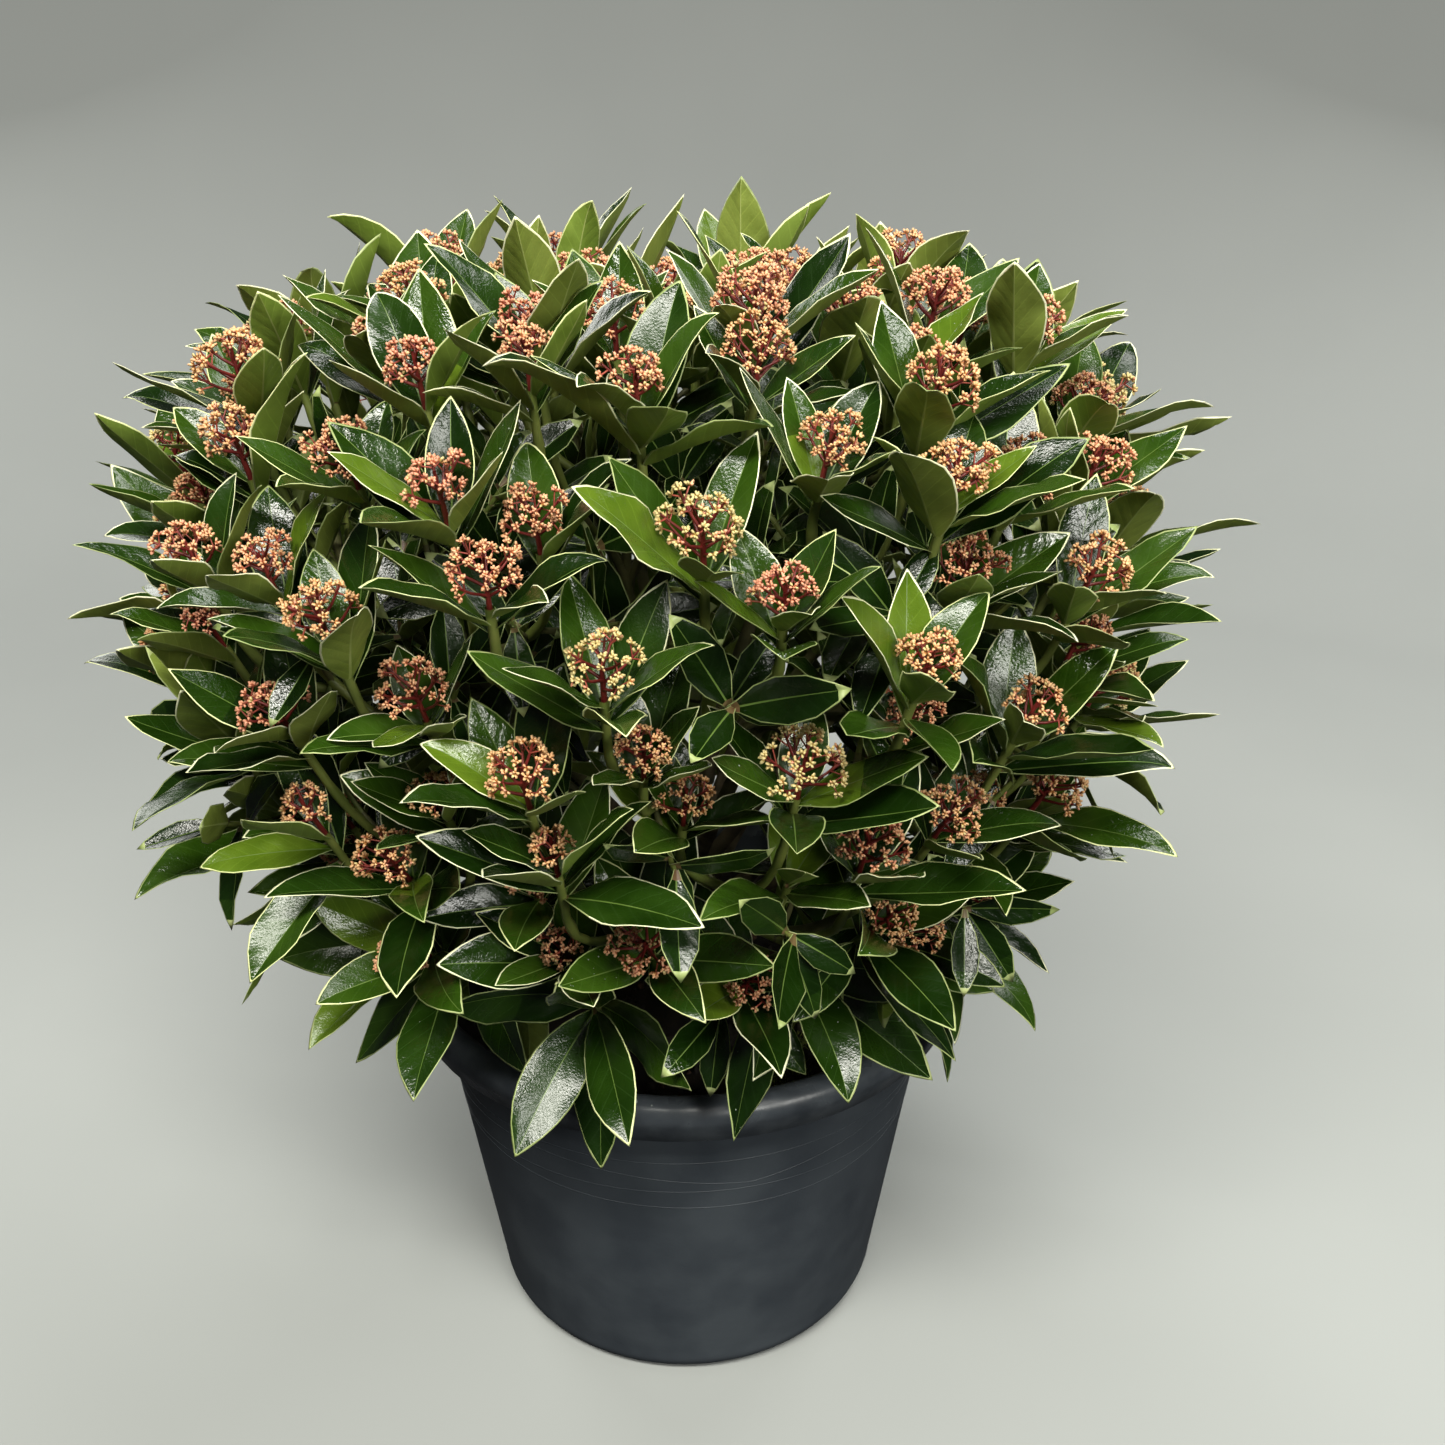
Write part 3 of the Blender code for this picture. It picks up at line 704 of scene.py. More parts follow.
# Parts of a leaf, and the strips of faces round it: which points each lies between, and its part
TOP, RIB, EDGE, UNDER, FOOT, LOW_EDGE, HIGH_TOP, LOW_RIB = range(8)
LEAF_STRIPS = (
    (0, 1, EDGE), (1, 2, TOP), (2, 3, TOP), (3, 4, RIB), (4, 5, TOP), (5, 6, TOP), (6, 7, EDGE),
    (7, 13, EDGE), (13, 12, UNDER), (12, 11, UNDER), (11, 10, LOW_RIB), (10, 9, UNDER), (9, 8, UNDER),
    (8, 0, EDGE),
)
LEAF_ROW = 14
LOW_EDGE_UP_TO = 0.3
WET_FROM = 0.5


def leaf_part(part, row, station):
    """The part that a face belongs to by where it is along the leaf."""
    if row == 0:
        return LOW_EDGE if part == EDGE else FOOT
    if part == EDGE and station < LOW_EDGE_UP_TO:
        return LOW_EDGE
    if part == TOP and station > WET_FROM:
        return HIGH_TOP
    return part


def leaf_faces(stations):
    """The quads of a leaf, the triangles at its tip, and the part of the leaf that each belongs to."""
    rows = len(stations)
    quads, quad_parts = [], []
    for row in range(rows - 1):
        for a, b, part in LEAF_STRIPS:
            low, high = row * LEAF_ROW, (row + 1) * LEAF_ROW
            quad = (low + a, low + b, high + b, high + a)
            # A quad below starts a corner later, to be split along the same diagonal as those above
            quads.append(quad[1:] + quad[:1] if part in (UNDER, LOW_RIB) else quad)
            quad_parts.append(leaf_part(part, row, stations[row]))
    last = (rows - 1) * LEAF_ROW
    tip = last + LEAF_ROW
    triangles = [(last + a, last + b, tip) for a, b, _ in LEAF_STRIPS]
    return np.array(quads), np.array(quad_parts), np.array(triangles), np.full(len(triangles), EDGE)


def stray(draw, kind):
    return draw.uniform(-LEAF_STRAY[kind], LEAF_STRAY[kind])


def leaf_at(shoot, place, axis, turn, pitch, length, bend, roll, sag, look):
    """A leaf that leaves a shoot at a place on it, at a turn round it and a pitch from its axis."""
    first = axis.orthogonal().normalized()
    out = first * math.cos(turn) + axis.cross(first) * math.sin(turn)
    spread = pitch * (1 + LEAF_SPREAD * out.dot(compass(shoot.bearing)))
    lift = 0.0 if shoot.skirt else LEAF_RISE
    aim = (axis * math.cos(spread) + out * math.sin(spread) + UP * lift).normalized()
    width = length * LEAF_WIDTH * look["width"]
    rest = {name: value for name, value in look.items() if name != "width"}
    root, level = place - out * LEAF_SUNK, out.cross(axis)
    return Leaf(root, aim, level, -axis, length, width, bend, sag, roll, **rest)


def leaf_look(draw, age):
    """What varies from leaf to leaf apart from its place; age is 0 for the youngest, 1 for old ones."""
    young = draw.random() > age
    return {
        "width": draw.uniform(*LEAF_WIDTHS),
        "fold": math.radians(draw.uniform(*LEAF_FOLD)),
        "ripple": (draw.uniform(*LEAF_RIPPLE), draw.uniform(*LEAF_WAVES), draw.uniform(0, 6.28)),
        "hook": draw.uniform(*LEAF_HOOK),
        "tint": draw.choice(YOUNG_TINTS if young else OLD_TINTS),
        "pale": draw.choice(PALE_TINTS),
        "wet": draw.random() < WET_CHANCE,
        "dull": draw.random() < DULL_CHANCE * age**1.5,
    }


def in_own_space(point, name, places):
    """Whether a point is nearer its own mass's shoots than another's, give or take the interleave."""
    reach = {other: np.linalg.norm(nodes - point, axis=1).min() for other, nodes in places.items()}
    own = reach.pop(name)
    return own < min(reach.values()) + INTERLEAVE


def settle(room, own, shoot, place, axis, turn, pitch, length, *form):
    """The first of the tries whose leaf touches nothing but its own, hides no flower head and keeps to
    its mass's space, or None."""
    crowd, views, places = room
    for more_pitch, more_turn, shorter in LEAF_TRIES:
        way = (turn + math.radians(more_turn), pitch + math.radians(more_pitch))
        leaf = leaf_at(shoot, place, axis, *way, length * shorter, *form)
        shape = leaf_coarse(leaf)
        near = in_own_space(np.array(shape[0][-2]), shoot.mass, places)
        if near and not crowd.hits(shape, own) and not views.hits(shape):
            crowd.add(shape, "leaf")
            return leaf
    return None


def less_at_top(share, rise):
    """A factor that falls by this share from the crown's middle to its top."""
    return 1 - share * max(math.sin(rise), 0.0)


def rosette_leaf(shoot, number, room):
    """A shoot's leaf of this number, counted down from its tip, or None."""
    draw = shoot.draw
    turn = GOLDEN * (number + shoot.number / 3) + math.radians(stray(draw, "turn"))
    pitch = math.radians(LEAF_PITCH[0] + LEAF_PITCH[1] * number + stray(draw, "pitch"))
    pitch *= less_at_top(TOP_PITCH, shoot.rise)
    length = LEAF_LENGTH[0] + LEAF_LENGTH[1] * number
    length = length * draw.uniform(*LEAF_SIZES) * shoot.size
    bend = draw.uniform(*LEAF_BEND) * less_at_top(TOP_STRAIGHTER, shoot.rise)
    roll = math.radians(stray(draw, "roll"))
    sag = SKIRT_SAG if shoot.skirt else LEAF_SAG
    age = number / LEAVES + OLDER_LOW * max(-math.sin(shoot.rise), 0.0)
    look = leaf_look(random.Random(f"{SEED} leaf {shoot.number} {number}"), age)
    place = shoot.node - shoot.axis * LEAF_STEP * (number + FIRST_LEAF) * shoot.size
    own = {f"twig {shoot.number}"}
    return settle(room, own, shoot, place, shoot.axis, turn, pitch, length, bend, roll, sag, look)


def place_leaves(masses, room, leaves):
    """Leaves in turn round every shoot, turned aside or left out where they would touch something."""
    for number in range(LEAVES):
        for mass in masses:
            for shoot in mass.shoots:
                found = rosette_leaf(shoot, number, room) if number < shoot.leaves else None
                if found:
                    leaves[mass.name].append(found)


def side_route(route, draw):
    """The route of a finer twig, from a place along a shoot's twig and out to one side."""
    share = draw.uniform(*SIDE_START) * (len(route) - 3)
    k = int(share)
    start = route[k].lerp(route[k + 1], share - k)
    way = (route[k + 1] - route[k]).normalized()
    turn = draw.uniform(0, 2 * math.pi)
    first = way.orthogonal().normalized()
    out = first * math.cos(turn) + way.cross(first) * math.sin(turn)
    goal = (way + out * SIDE_TURN_OUT + UP * SIDE_TURN_UP).normalized()
    reach = draw.uniform(*SIDE_LENGTH)
    curve = (start, start + (way + out) * reach * SIDE_BOW, start + goal * reach)
    return [bezier(curve, i / SIDE_STEPS) for i in range(SIDE_STEPS + 1)]


def side_leaf(shoot, number, tip, axis, draw, room, own):
    """A small leaf near the end of a finer twig, or None, darkened with painted shade for the inside of
    the crown: the darkest greens and a dull margin.
    """
    turn = GOLDEN * number + draw.uniform(-SIDE_TURN_STRAY, SIDE_TURN_STRAY)
    stray_pitch = draw.uniform(-SIDE_PITCH_STRAY, SIDE_PITCH_STRAY)
    pitch = math.radians(SIDE_PITCH[0] + SIDE_PITCH[1] * number + stray_pitch)
    length = draw.uniform(*SIDE_LEAF_LENGTH) * shoot.size
    bend, roll = draw.uniform(*LEAF_BEND), math.radians(stray(draw, "roll"))
    look = leaf_look(draw, SIDE_AGE)
    place = tip - axis * LEAF_STEP * number
    found = settle(room, own, shoot, place, axis, turn, pitch, length, bend, roll, LEAF_SAG, look)
    if found:
        # Inner leaves get the darkest greens: painted shade of the crown's inside.
        found.inner = True
        found.tint = 0 if found.tint < 3 else 1
    return found


def place_side_shoots(masses, room, twigs, leaves):
    """Finer twigs inside the crown, each with a few leaves of its own."""
    crowd = room[0]
    side_twigs = {mass.name: [] for mass in masses}
    for shoot in (shoot for mass in masses for shoot in mass.shoots):
        for number in range(SIDE_SHOOTS if shoot.rise > SIDE_FROM else 1):
            draw = random.Random(f"{SEED} side {shoot.number} {number}")
            points = side_route(twigs[shoot.number], draw)
            name = f"side {shoot.number} {number}"
            own = {name, f"twig {shoot.number}"}
            shape = limb(points[1:], taper(SIDE_RADII, SIDE_STEPS), 4)
            if crowd.hits(shape, own):
                continue
            crowd.add(shape, name)
            axis = (points[-1] - points[-2]).normalized()
            found = [side_leaf(shoot, k, points[-1], axis, draw, room, own) for k in range(SIDE_LEAVES)]
            if any(found):
                leaves[shoot.mass] += [leaf for leaf in found if leaf]
                side_twigs[shoot.mass].append(points)
    return side_twigs


class Heap:
    """Small shapes gathered into one mesh, each face with the number of its finish."""

    def __init__(self):
        self.points = []
        self.veins = []
        self.total = 0
        self.faces = {3: [], 4: []}
        self.looks = {3: [], 4: []}

    def add(self, points, *groups):
        """points is (n, 3), and each group is faces, (m, 3 or 4), with one look or m of them."""
        for faces, looks in groups:
            sides = faces.shape[1]
            self.faces[sides].append(faces + self.total)
            self.looks[sides].append(np.broadcast_to(looks, len(faces)))
        self.points.append(points)
        self.total += len(points)

    def build(self, name, finishes, slot):
        points = np.concatenate(self.points).astype(np.float32)
        corners, starts, looks = [], [], []
        at = 0
        for sides in (4, 3):
            if not self.faces[sides]:
                continue
            faces = np.concatenate(self.faces[sides])
            corners.append(faces.ravel())
            starts.append(at + sides * np.arange(len(faces)))
            looks.append(np.concatenate(self.looks[sides]))
            at += faces.size
        corners, starts, looks = (np.concatenate(x).astype(np.int32) for x in (corners, starts, looks))
        mesh = bpy.data.meshes.new(name)
        mesh.vertices.add(len(points))
        mesh.vertices.foreach_set("co", points.ravel())
        mesh.loops.add(len(corners))
        mesh.loops.foreach_set("vertex_index", corners)
        mesh.polygons.add(len(starts))
        mesh.polygons.foreach_set("loop_start", starts)
        mesh.polygons.foreach_set("material_index", looks)
        for finish in finishes:
            mesh.materials.append(finish)
        mesh.update(calc_edges=True)
        mesh.shade_smooth()
        if self.veins:
            kept = mesh.attributes.new("veins", "FLOAT", "POINT")
            kept.data.foreach_set("value", np.concatenate(self.veins).astype(np.float32))
        made = bpy.data.objects.new(name, mesh)
        bpy.context.scene.collection.objects.link(made)
        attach(made, "root")
        return made


def unit(vectors):
    return vectors / np.linalg.norm(vectors, axis=-1, keepdims=True)


def square_to(ways):
    """Two unit vectors square to each of the ways and to each other."""
    steep = np.abs(ways[:, 2:3]) > 0.9
    helper = np.where(steep, np.array((1.0, 0.0, 0.0)), np.array((0.0, 0.0, 1.0)))
    side = unit(np.cross(helper, ways))
    return side, np.cross(ways, side)


def set_along(template, starts, ways, widths, lengths):
    """Copies of a template that lies along Z, set at the starts and along the ways."""
    side, across = square_to(ways)
    wide = template[None, :, :2] * widths[:, None, None]
    return (
        starts[:, None]
        + wide[..., 0:1] * side[:, None]
        + wide[..., 1:2] * across[:, None]
        + template[None, :, 2:3] * lengths[:, None, None] * ways[:, None]
    )


def rings(radii_heights, sides):
    """Points of a turned shape along Z: a ring of corners for each (radius, height)."""
    turns = 2 * np.pi * np.arange(sides) / sides
    return np.array(
        [(r * math.cos(a), r * math.sin(a), z) for r, z in radii_heights for a in turns]
    )


def ring_faces(count, sides):
    """The quads between so many rings of corners."""
    quads = []
    for row in range(count - 1):
        for i in range(sides):
            j = (i + 1) % sides
            low, high = row * sides, (row + 1) * sides
            quads.append((low + i, low + j, high + j, high + i))
    return np.array(quads)


def tube(points, radii, sides):
    """(points, quads) of a tube through the points, open at both ends."""
    corners, _ = limb([Vector(p) for p in points], radii, sides)
    return np.array(corners), ring_faces(len(points), sides)


def many(template_faces, count, size):
    """The faces of so many copies of a template with this many points."""
    shifts = size * np.arange(count)[:, None, None]
    return (template_faces[None] + shifts).reshape(-1, template_faces.shape[1])


def fan(count, size):
    """Unit vectors spread evenly over a cap round Z that reaches down to this angle."""
    i = np.arange(count) + 0.5
    height = 1 - (1 - math.cos(size)) * i / count
    level = np.sqrt(np.clip(1 - height**2, 0, 1))
    return np.stack((level * np.cos(GOLDEN * i), level * np.sin(GOLDEN * i), height), axis=1)


def turned_to(vectors, way, spin):
    """Vectors given round Z, turned to lie round the way instead."""
    side, across = (v[0] for v in square_to(np.array(way)[None]))
    level = side * math.cos(spin) + across * math.sin(spin)
    other = np.cross(np.array(way), level)
    return vectors[:, 0:1] * level + vectors[:, 1:2] * other + vectors[:, 2:3] * np.array(way)


BUD_RINGS = ((0.35, 0.0), (1.0, 0.56), (0.62, 1.0))
BUD_SIDES = 3
BUD_POINTS = rings(BUD_RINGS, BUD_SIDES)
BUD_BODY = ring_faces(2, BUD_SIDES)
# The last strip of the bud and the triangle that closes it, in the tip colour: partly the bud's own
# paler tip and partly painted highlight
BUD_TIP = BUD_BODY + BUD_SIDES
BUD_END = np.arange(BUD_SIDES)[None] + 2 * BUD_SIDES
BUD_HUES = 4


def add_cluster(hub, way, hue, size, chance, buds):
    """A few buds that spread from one hub."""
    number = int(chance.integers(*CLUSTER_BUDS, endpoint=True))
    aims = turned_to(fan(number, BUD_SPREAD), Vector(way), chance.uniform(0, 6))
    aims = unit(aims + chance.normal(0, BUD_STRAY, aims.shape))
    lengths = chance.uniform(*BUD_LENGTH, number) * size
    widths = chance.uniform(*BUD_RADIUS, number) * size
    hubs = np.repeat(hub[None], number, 0)
    points = set_along(BUD_POINTS, hubs, aims, widths, lengths)
    hues = np.where(chance.random(number) < SAME_HUE, hue, chance.integers(0, BUD_HUES, number))
    body = np.repeat(hues, len(BUD_BODY))
    tips = np.repeat(hues + BUD_HUES, len(BUD_TIP))
    buds.add(
        points.reshape(-1, 3),
        (many(BUD_BODY, number, len(BUD_POINTS)), body),
        (many(BUD_TIP, number, len(BUD_POINTS)), tips),
        (many(BUD_END, number, len(BUD_POINTS)), hues + BUD_HUES),
    )


def add_head(shoot, radius, crowd, buds, stalks):
    """A flower head: dark red branches from one stalk, whose clusters of buds make up a dome."""
    chance = np.random.default_rng(SEED * 3000 + shoot.number)
    axis, base = np.array(shoot.axis), np.array(shoot.node)
    side, across = (v[0] for v in square_to(axis[None]))
    spin = chance.uniform(0, 2 * math.pi)
    size = shoot.head_size
    count = round(HEAD_BRANCHES * (radius / HEAD_USUAL / size) ** 1.5)
    count = min(max(count, BRANCHES[0]), BRANCHES[1])
    spine = [base - axis * HEAD_FOOT, base + axis * HEAD_JOINT * size, base + axis * HEAD_TOP * size]
    points, quads = tube(spine, [r * size for r in HEAD_RADII], 6)
    stalks.add(points, (quads, 0))
    middle = base + axis * DOME_MIDDLE * size
    hue = int(chance.choice(BUD_HUES, p=HEAD_HUES))
    own = {f"twig {shoot.number}", f"head {shoot.number}"}
    for k in range(count):
        upright = 1 - (1 - math.cos(DOME_EDGE)) * (k + 0.5) / count
        turn = spin + GOLDEN * k + chance.normal(0, BRANCH_STRAY)
        out = side * math.cos(turn) + across * math.sin(turn)
        face = axis * upright * DOME_FLATNESS + out * math.sqrt(1 - upright**2)
        reach = radius * chance.uniform(*DOME_REACH)
        for _ in range(BRANCH_TRIES):
            end = middle + face * reach
            if not crowd.hits(ball(Vector(end), CLUSTER_APART * size, 4), own):
                break
            reach *= BRANCH_SHORTER
        else:
            continue
        height = (end - base) @ axis - BRANCH_DROP * reach
        height = float(np.clip(height, LOWEST_BRANCH * size, HEAD_TOP * size))
        start = base + axis * height
        way = unit(end - start)
        bend = start + (end - start) * BRANCH_BEND - axis * BRANCH_SAG * size
        points, quads = tube([start, bend, end], [r * size for r in BRANCH_RADII], 5)
        stalks.add(points, (quads, 0))
        aim = unit(way + unit(face))
        add_cluster(end, aim, hue, size, chance, buds)
        first, second = (v[0] for v in square_to(aim[None]))
        swing = chance.uniform(0, 2 * math.pi)
        for i in range(BRANCH_CLUSTERS - 1):
            lean = swing + 2 * math.pi * i / (BRANCH_CLUSTERS - 1) + chance.normal(0, BRANCH_STRAY)
            off = first * math.cos(lean) + second * math.sin(lean)
            spacing = CLUSTER_APART * size * chance.uniform(*CLUSTER_SPACING)
            hub = end + (off - aim * CLUSTER_BACK) * spacing
            fork = bend + (end - bend) * chance.uniform(*CLUSTER_FORK)
            points, quads = tube([fork, hub], [r * size for r in FINE_RADII], 3)
            stalks.add(points, (quads, 1))
            add_cluster(hub, unit(off * CLUSTER_OUT + aim), hue, size, chance, buds)


# The share of leaves with many drops, the usual number of drops on the others and on those, and the
# least, the mean extra and the greatest size of a drop
DROP_WET_LEAVES = 0.14
DROPS = (0.1, 13)
DROP_SIZES = (0.12 * MM, 0.08 * MM, 0.32 * MM)
DROP_RINGS = ((1.0, 0.0), (0.75, 0.55))
DROP_POINTS = np.vstack((rings(DROP_RINGS, 5), (0.0, 0.0, 0.8)))
DROP_QUADS = ring_faces(2, 5)
DROP_TIP = np.array([(5 + i, 5 + (i + 1) % 5, 10) for i in range(5)])


def add_drops(points, drops, chance):
    """Water drops on the top of a leaf: many on a few leaves, and hardly any on the rest."""
    rows = points[:-1].reshape(-1, LEAF_ROW, 3)
    wet = chance.random() < DROP_WET_LEAVES
    for _ in range(chance.poisson(DROPS[wet])):
        row = int(chance.integers(2, len(rows) - 1))
        column = int(chance.choice((1, 2, 4, 5)))
        a, b, c = rows[row, column], rows[row, column + 1], rows[row + 1, column]
        u, v = chance.random(2)
        out = unit(np.cross(b - a, c - a))
        if out[2] < 0.1:
            continue
        size = np.array((min(DROP_SIZES[0] + chance.exponential(DROP_SIZES[1]), DROP_SIZES[2]),))
        place = a + (b - a) * u + (c - a) * v
        shape = set_along(DROP_POINTS, place[None], out[None], size, size)[0]
        drops.add(shape, (DROP_QUADS, 0), (DROP_TIP, 0))


# Finishes: where the ramps of colours and of roughness start and end, the depth of the fine relief, and
# for a leaf's side veins their share of the space between two, their tint, how much paler than the blade
# it is, and the extent and depth of the swells
RAMP_ENDS = (0.36, 0.64)
GLOSS_ENDS = {"From_Min": 0.3, "From_Max": 0.7}
RELIEF_DEPTH = 0.3 * MM
VEIN_SHARE = 0.07
VEIN_TINT = 0.3
VEIN_PALER = (1.5, 0.01)
SWELL_SHARE = 0.4
SWELL_DEPTH = 0.5 * MM


def colour(*rgb):
    return (*rgb, 1.0)


def set_sockets(node, values):
    """Values for a node's sockets by name, with _ for each space."""
    for socket, value in values.items():
        node.inputs[socket.replace("_", " ")].default_value = value


def new_node(tree, kind, **values):
    made = tree.nodes.new("ShaderNode" + kind)
    set_sockets(made, values)
    return made


def mottled(name, dark, light, grain, roughness, relief=0.0, relief_grain=600.0, veins=0.0, **sockets):
    """A finish whose colour and roughness wander between two values, with a fine relief."""
    made = bpy.data.materials.new(name)
    made.use_nodes = True
    tree, link = made.node_tree, made.node_tree.links.new
    shader = tree.nodes["Principled BSDF"]
    where = new_node(tree, "TexCoord").outputs["Object"]
    blotches = new_node(tree, "TexNoise", Scale=grain, Detail=3.0)
    link(where, blotches.inputs["Vector"])
    ramp = new_node(tree, "ValToRGB")
    for stop, place, rgb in zip(ramp.color_ramp.elements, RAMP_ENDS, (dark, light)):
        stop.position, stop.color = place, colour(*rgb)
    link(blotches.outputs["Fac"], ramp.inputs["Fac"])
    link(ramp.outputs["Color"], shader.inputs["Base Color"])
    gloss = new_node(tree, "MapRange", **GLOSS_ENDS, To_Min=roughness[0], To_Max=roughness[1])
    link(blotches.outputs["Fac"], gloss.inputs["Value"])
    link(gloss.outputs["Result"], shader.inputs["Roughness"])
    if relief:
        fine = new_node(tree, "TexNoise", Scale=relief_grain, Detail=2.0)
        link(where, fine.inputs["Vector"])
        bump = new_node(tree, "Bump", Strength=relief, Distance=RELIEF_DEPTH)
        link(fine.outputs["Fac"], bump.inputs["Height"])
        link(bump.outputs["Normal"], shader.inputs["Normal"])
    if veins:
        add_veins(tree, shader, ramp, bump, veins, light)
    set_sockets(shader, sockets)
    return made


def add_veins(tree, shader, ramp, bump, depth, light):
    """Side veins: fine grooves a little paler than the blade, with soft swells between them."""
    link = tree.links.new
    run = new_node(tree, "Attribute")
    run.attribute_name = "veins"
    swell = new_node(tree, "Math")
    swell.operation = "PINGPONG"
    swell.inputs[1].default_value = 0.5
    link(run.outputs["Fac"], swell.inputs[0])
    groove = new_node(tree, "MapRange", From_Max=VEIN_SHARE, To_Min=VEIN_TINT, To_Max=0.0)
    high = new_node(tree, "MapRange", From_Max=SWELL_SHARE)
    for ends in (groove, high):
        ends.interpolation_type = "SMOOTHSTEP"
        link(swell.outputs[0], ends.inputs["Value"])
    tint = new_node(tree, "Mix")
    tint.data_type = "RGBA"
    link(groove.outputs["Result"], tint.inputs["Factor"])
    link(ramp.outputs["Color"], tint.inputs["A"])
    times, more = VEIN_PALER
    tint.inputs["B"].default_value = colour(*(min(times * value + more, 1.0) for value in light))
    link(tint.outputs["Result"], shader.inputs["Base Color"])
    ridge = new_node(tree, "Bump", Strength=depth, Distance=SWELL_DEPTH)
    link(high.outputs["Result"], ridge.inputs["Height"])
    link(bump.outputs["Normal"], ridge.inputs["Normal"])
    link(ridge.outputs["Normal"], shader.inputs["Normal"])


def leaf_finishes():
    greens = (
        ("leaf_deep", (0.0036, 0.0128, 0.0009), (0.0064, 0.0218, 0.0015)),
        ("leaf_dark", (0.0078, 0.0245, 0.0016), (0.014, 0.039, 0.003)),
        ("leaf_green", (0.0158, 0.0435, 0.0025), (0.028, 0.0655, 0.0045)),
        ("leaf_fresh", (0.062, 0.115, 0.007), (0.098, 0.162, 0.011)),
    )
    tops = [
        mottled(name, dark, light, 55, (0.12, 0.27), 0.45, 1300, 0.09, Specular_IOR_Level=0.5)
        for name, dark, light in greens
    ]
    wet = [
        mottled(name + "_wet", dark, light, 55, (0.11, 0.22), 0.65, 1000, 0.14, Specular_IOR_Level=0.6)
        for name, dark, light in (greens[1], greens[2])
    ]
    rib = mottled("leaf_rib", (0.085, 0.14, 0.025), (0.12, 0.19, 0.04), 80, (0.3, 0.4))
    edges = [
        mottled("leaf_margin_cream", (0.82, 0.84, 0.50), (0.94, 0.94, 0.66), 90, (0.35, 0.5)),
        mottled("leaf_margin_yellow", (0.70, 0.76, 0.34), (0.84, 0.88, 0.46), 90, (0.35, 0.5)),
    ]
    # The dull green margin: the margin of older leaves, and painted shade on the inner leaves.
    dull = mottled("leaf_margin_green", (0.26, 0.33, 0.11), (0.42, 0.48, 0.20), 110, (0.35, 0.5))
    # Undersides: a paler olive of their own, brightened further as painted light that shines through the
    # leaf.
    unders = [
        mottled(name, dark, light, 70, (0.5, 0.62), 0.3, 900, 0.15)
        for name, dark, light in (
            ("leaf_under_olive", (0.165, 0.22, 0.03), (0.24, 0.31, 0.052)),
            ("leaf_under_green", (0.15, 0.235, 0.025), (0.22, 0.32, 0.045)),
        )
    ]
    foot = mottled("leaf_foot", (0.13, 0.07, 0.03), (0.16, 0.13, 0.05), 120, (0.4, 0.5))
    low_rib = mottled("leaf_rib_under", (0.29, 0.36, 0.09), (0.40, 0.47, 0.15), 80, (0.4, 0.5))
    return tops + [rib] + edges + [dull] + unders + [foot] + wet + [low_rib]


# Where each part's first finish is in that list
RIB_LOOK, EDGE_LOOK, DULL_EDGE, UNDER_LOOK, FOOT_LOOK, WET_LOOK, LOW_RIB_LOOK = 4, 5, 7, 8, 10, 11, 13
LEAF_KINDS = {
    False: (LEAF_STATIONS, leaf_faces(LEAF_STATIONS)),
    True: (LEAF_STATIONS_INNER, leaf_faces(LEAF_STATIONS_INNER)),
}


def add_leaf(leaf, heap):
    stations, (quads, quad_parts, triangles, triangle_parts) = LEAF_KINDS[leaf.inner]
    high = WET_LOOK + leaf.tint // 2 if leaf.wet else leaf.tint
    # On inner leaves the dull margin is painted shade; on the others it marks older leaves.
    edge = DULL_EDGE if leaf.inner or leaf.dull else EDGE_LOOK + leaf.pale
    under = UNDER_LOOK + leaf.pale
    looks = np.array((leaf.tint, RIB_LOOK, edge, under, FOOT_LOOK, DULL_EDGE, high, LOW_RIB_LOOK))
    points, veins = leaf_fine(leaf, stations)
    heap.add(points, (quads, looks[quad_parts]), (triangles, looks[triangle_parts]))
    heap.veins.append(veins)
    return points


# The bodies of the buds in each hue, and then their paler tips, partly their own colour and partly
# painted highlight
BUD_LOOKS = (
    ("bud_salmon", (0.36, 0.098, 0.036), (0.49, 0.165, 0.066), (0.42, 0.55)),
    ("bud_tan", (0.37, 0.145, 0.038), (0.51, 0.23, 0.07), (0.42, 0.55)),
    ("bud_rose", (0.35, 0.085, 0.038), (0.48, 0.145, 0.066), (0.42, 0.55)),
    ("bud_olive", (0.38, 0.26, 0.07), (0.50, 0.35, 0.11), (0.42, 0.55)),
    ("bud_tip_peach", (0.70, 0.34, 0.17), (0.85, 0.48, 0.27), (0.4, 0.5)),
    ("bud_tip_straw", (0.70, 0.38, 0.17), (0.83, 0.52, 0.26), (0.4, 0.5)),
    ("bud_tip_pink", (0.68, 0.28, 0.16), (0.82, 0.40, 0.25), (0.4, 0.5)),
    ("bud_tip_green", (0.58, 0.46, 0.19), (0.70, 0.58, 0.27), (0.4, 0.5)),
)
# Each ring's buds in so many pieces, so that none has too many faces
BUD_PIECES = {"low": 2, "middle": 2, "top": 1}


# The drops' pale whitish colour, with only part of the light passing through, is a painted highlight:
# clear water would show the leaf beneath.
WATER_PAINTED_GLINT = {
    "Base_Color": colour(0.86, 0.92, 0.88),
    "Roughness": 0.04,
    "IOR": 1.4,
    "Transmission_Weight": 0.6,
}


def water_finish():
    water = bpy.data.materials.new("water_drop")
    water.use_nodes = True
    set_sockets(water.node_tree.nodes["Principled BSDF"], WATER_PAINTED_GLINT)
    return water


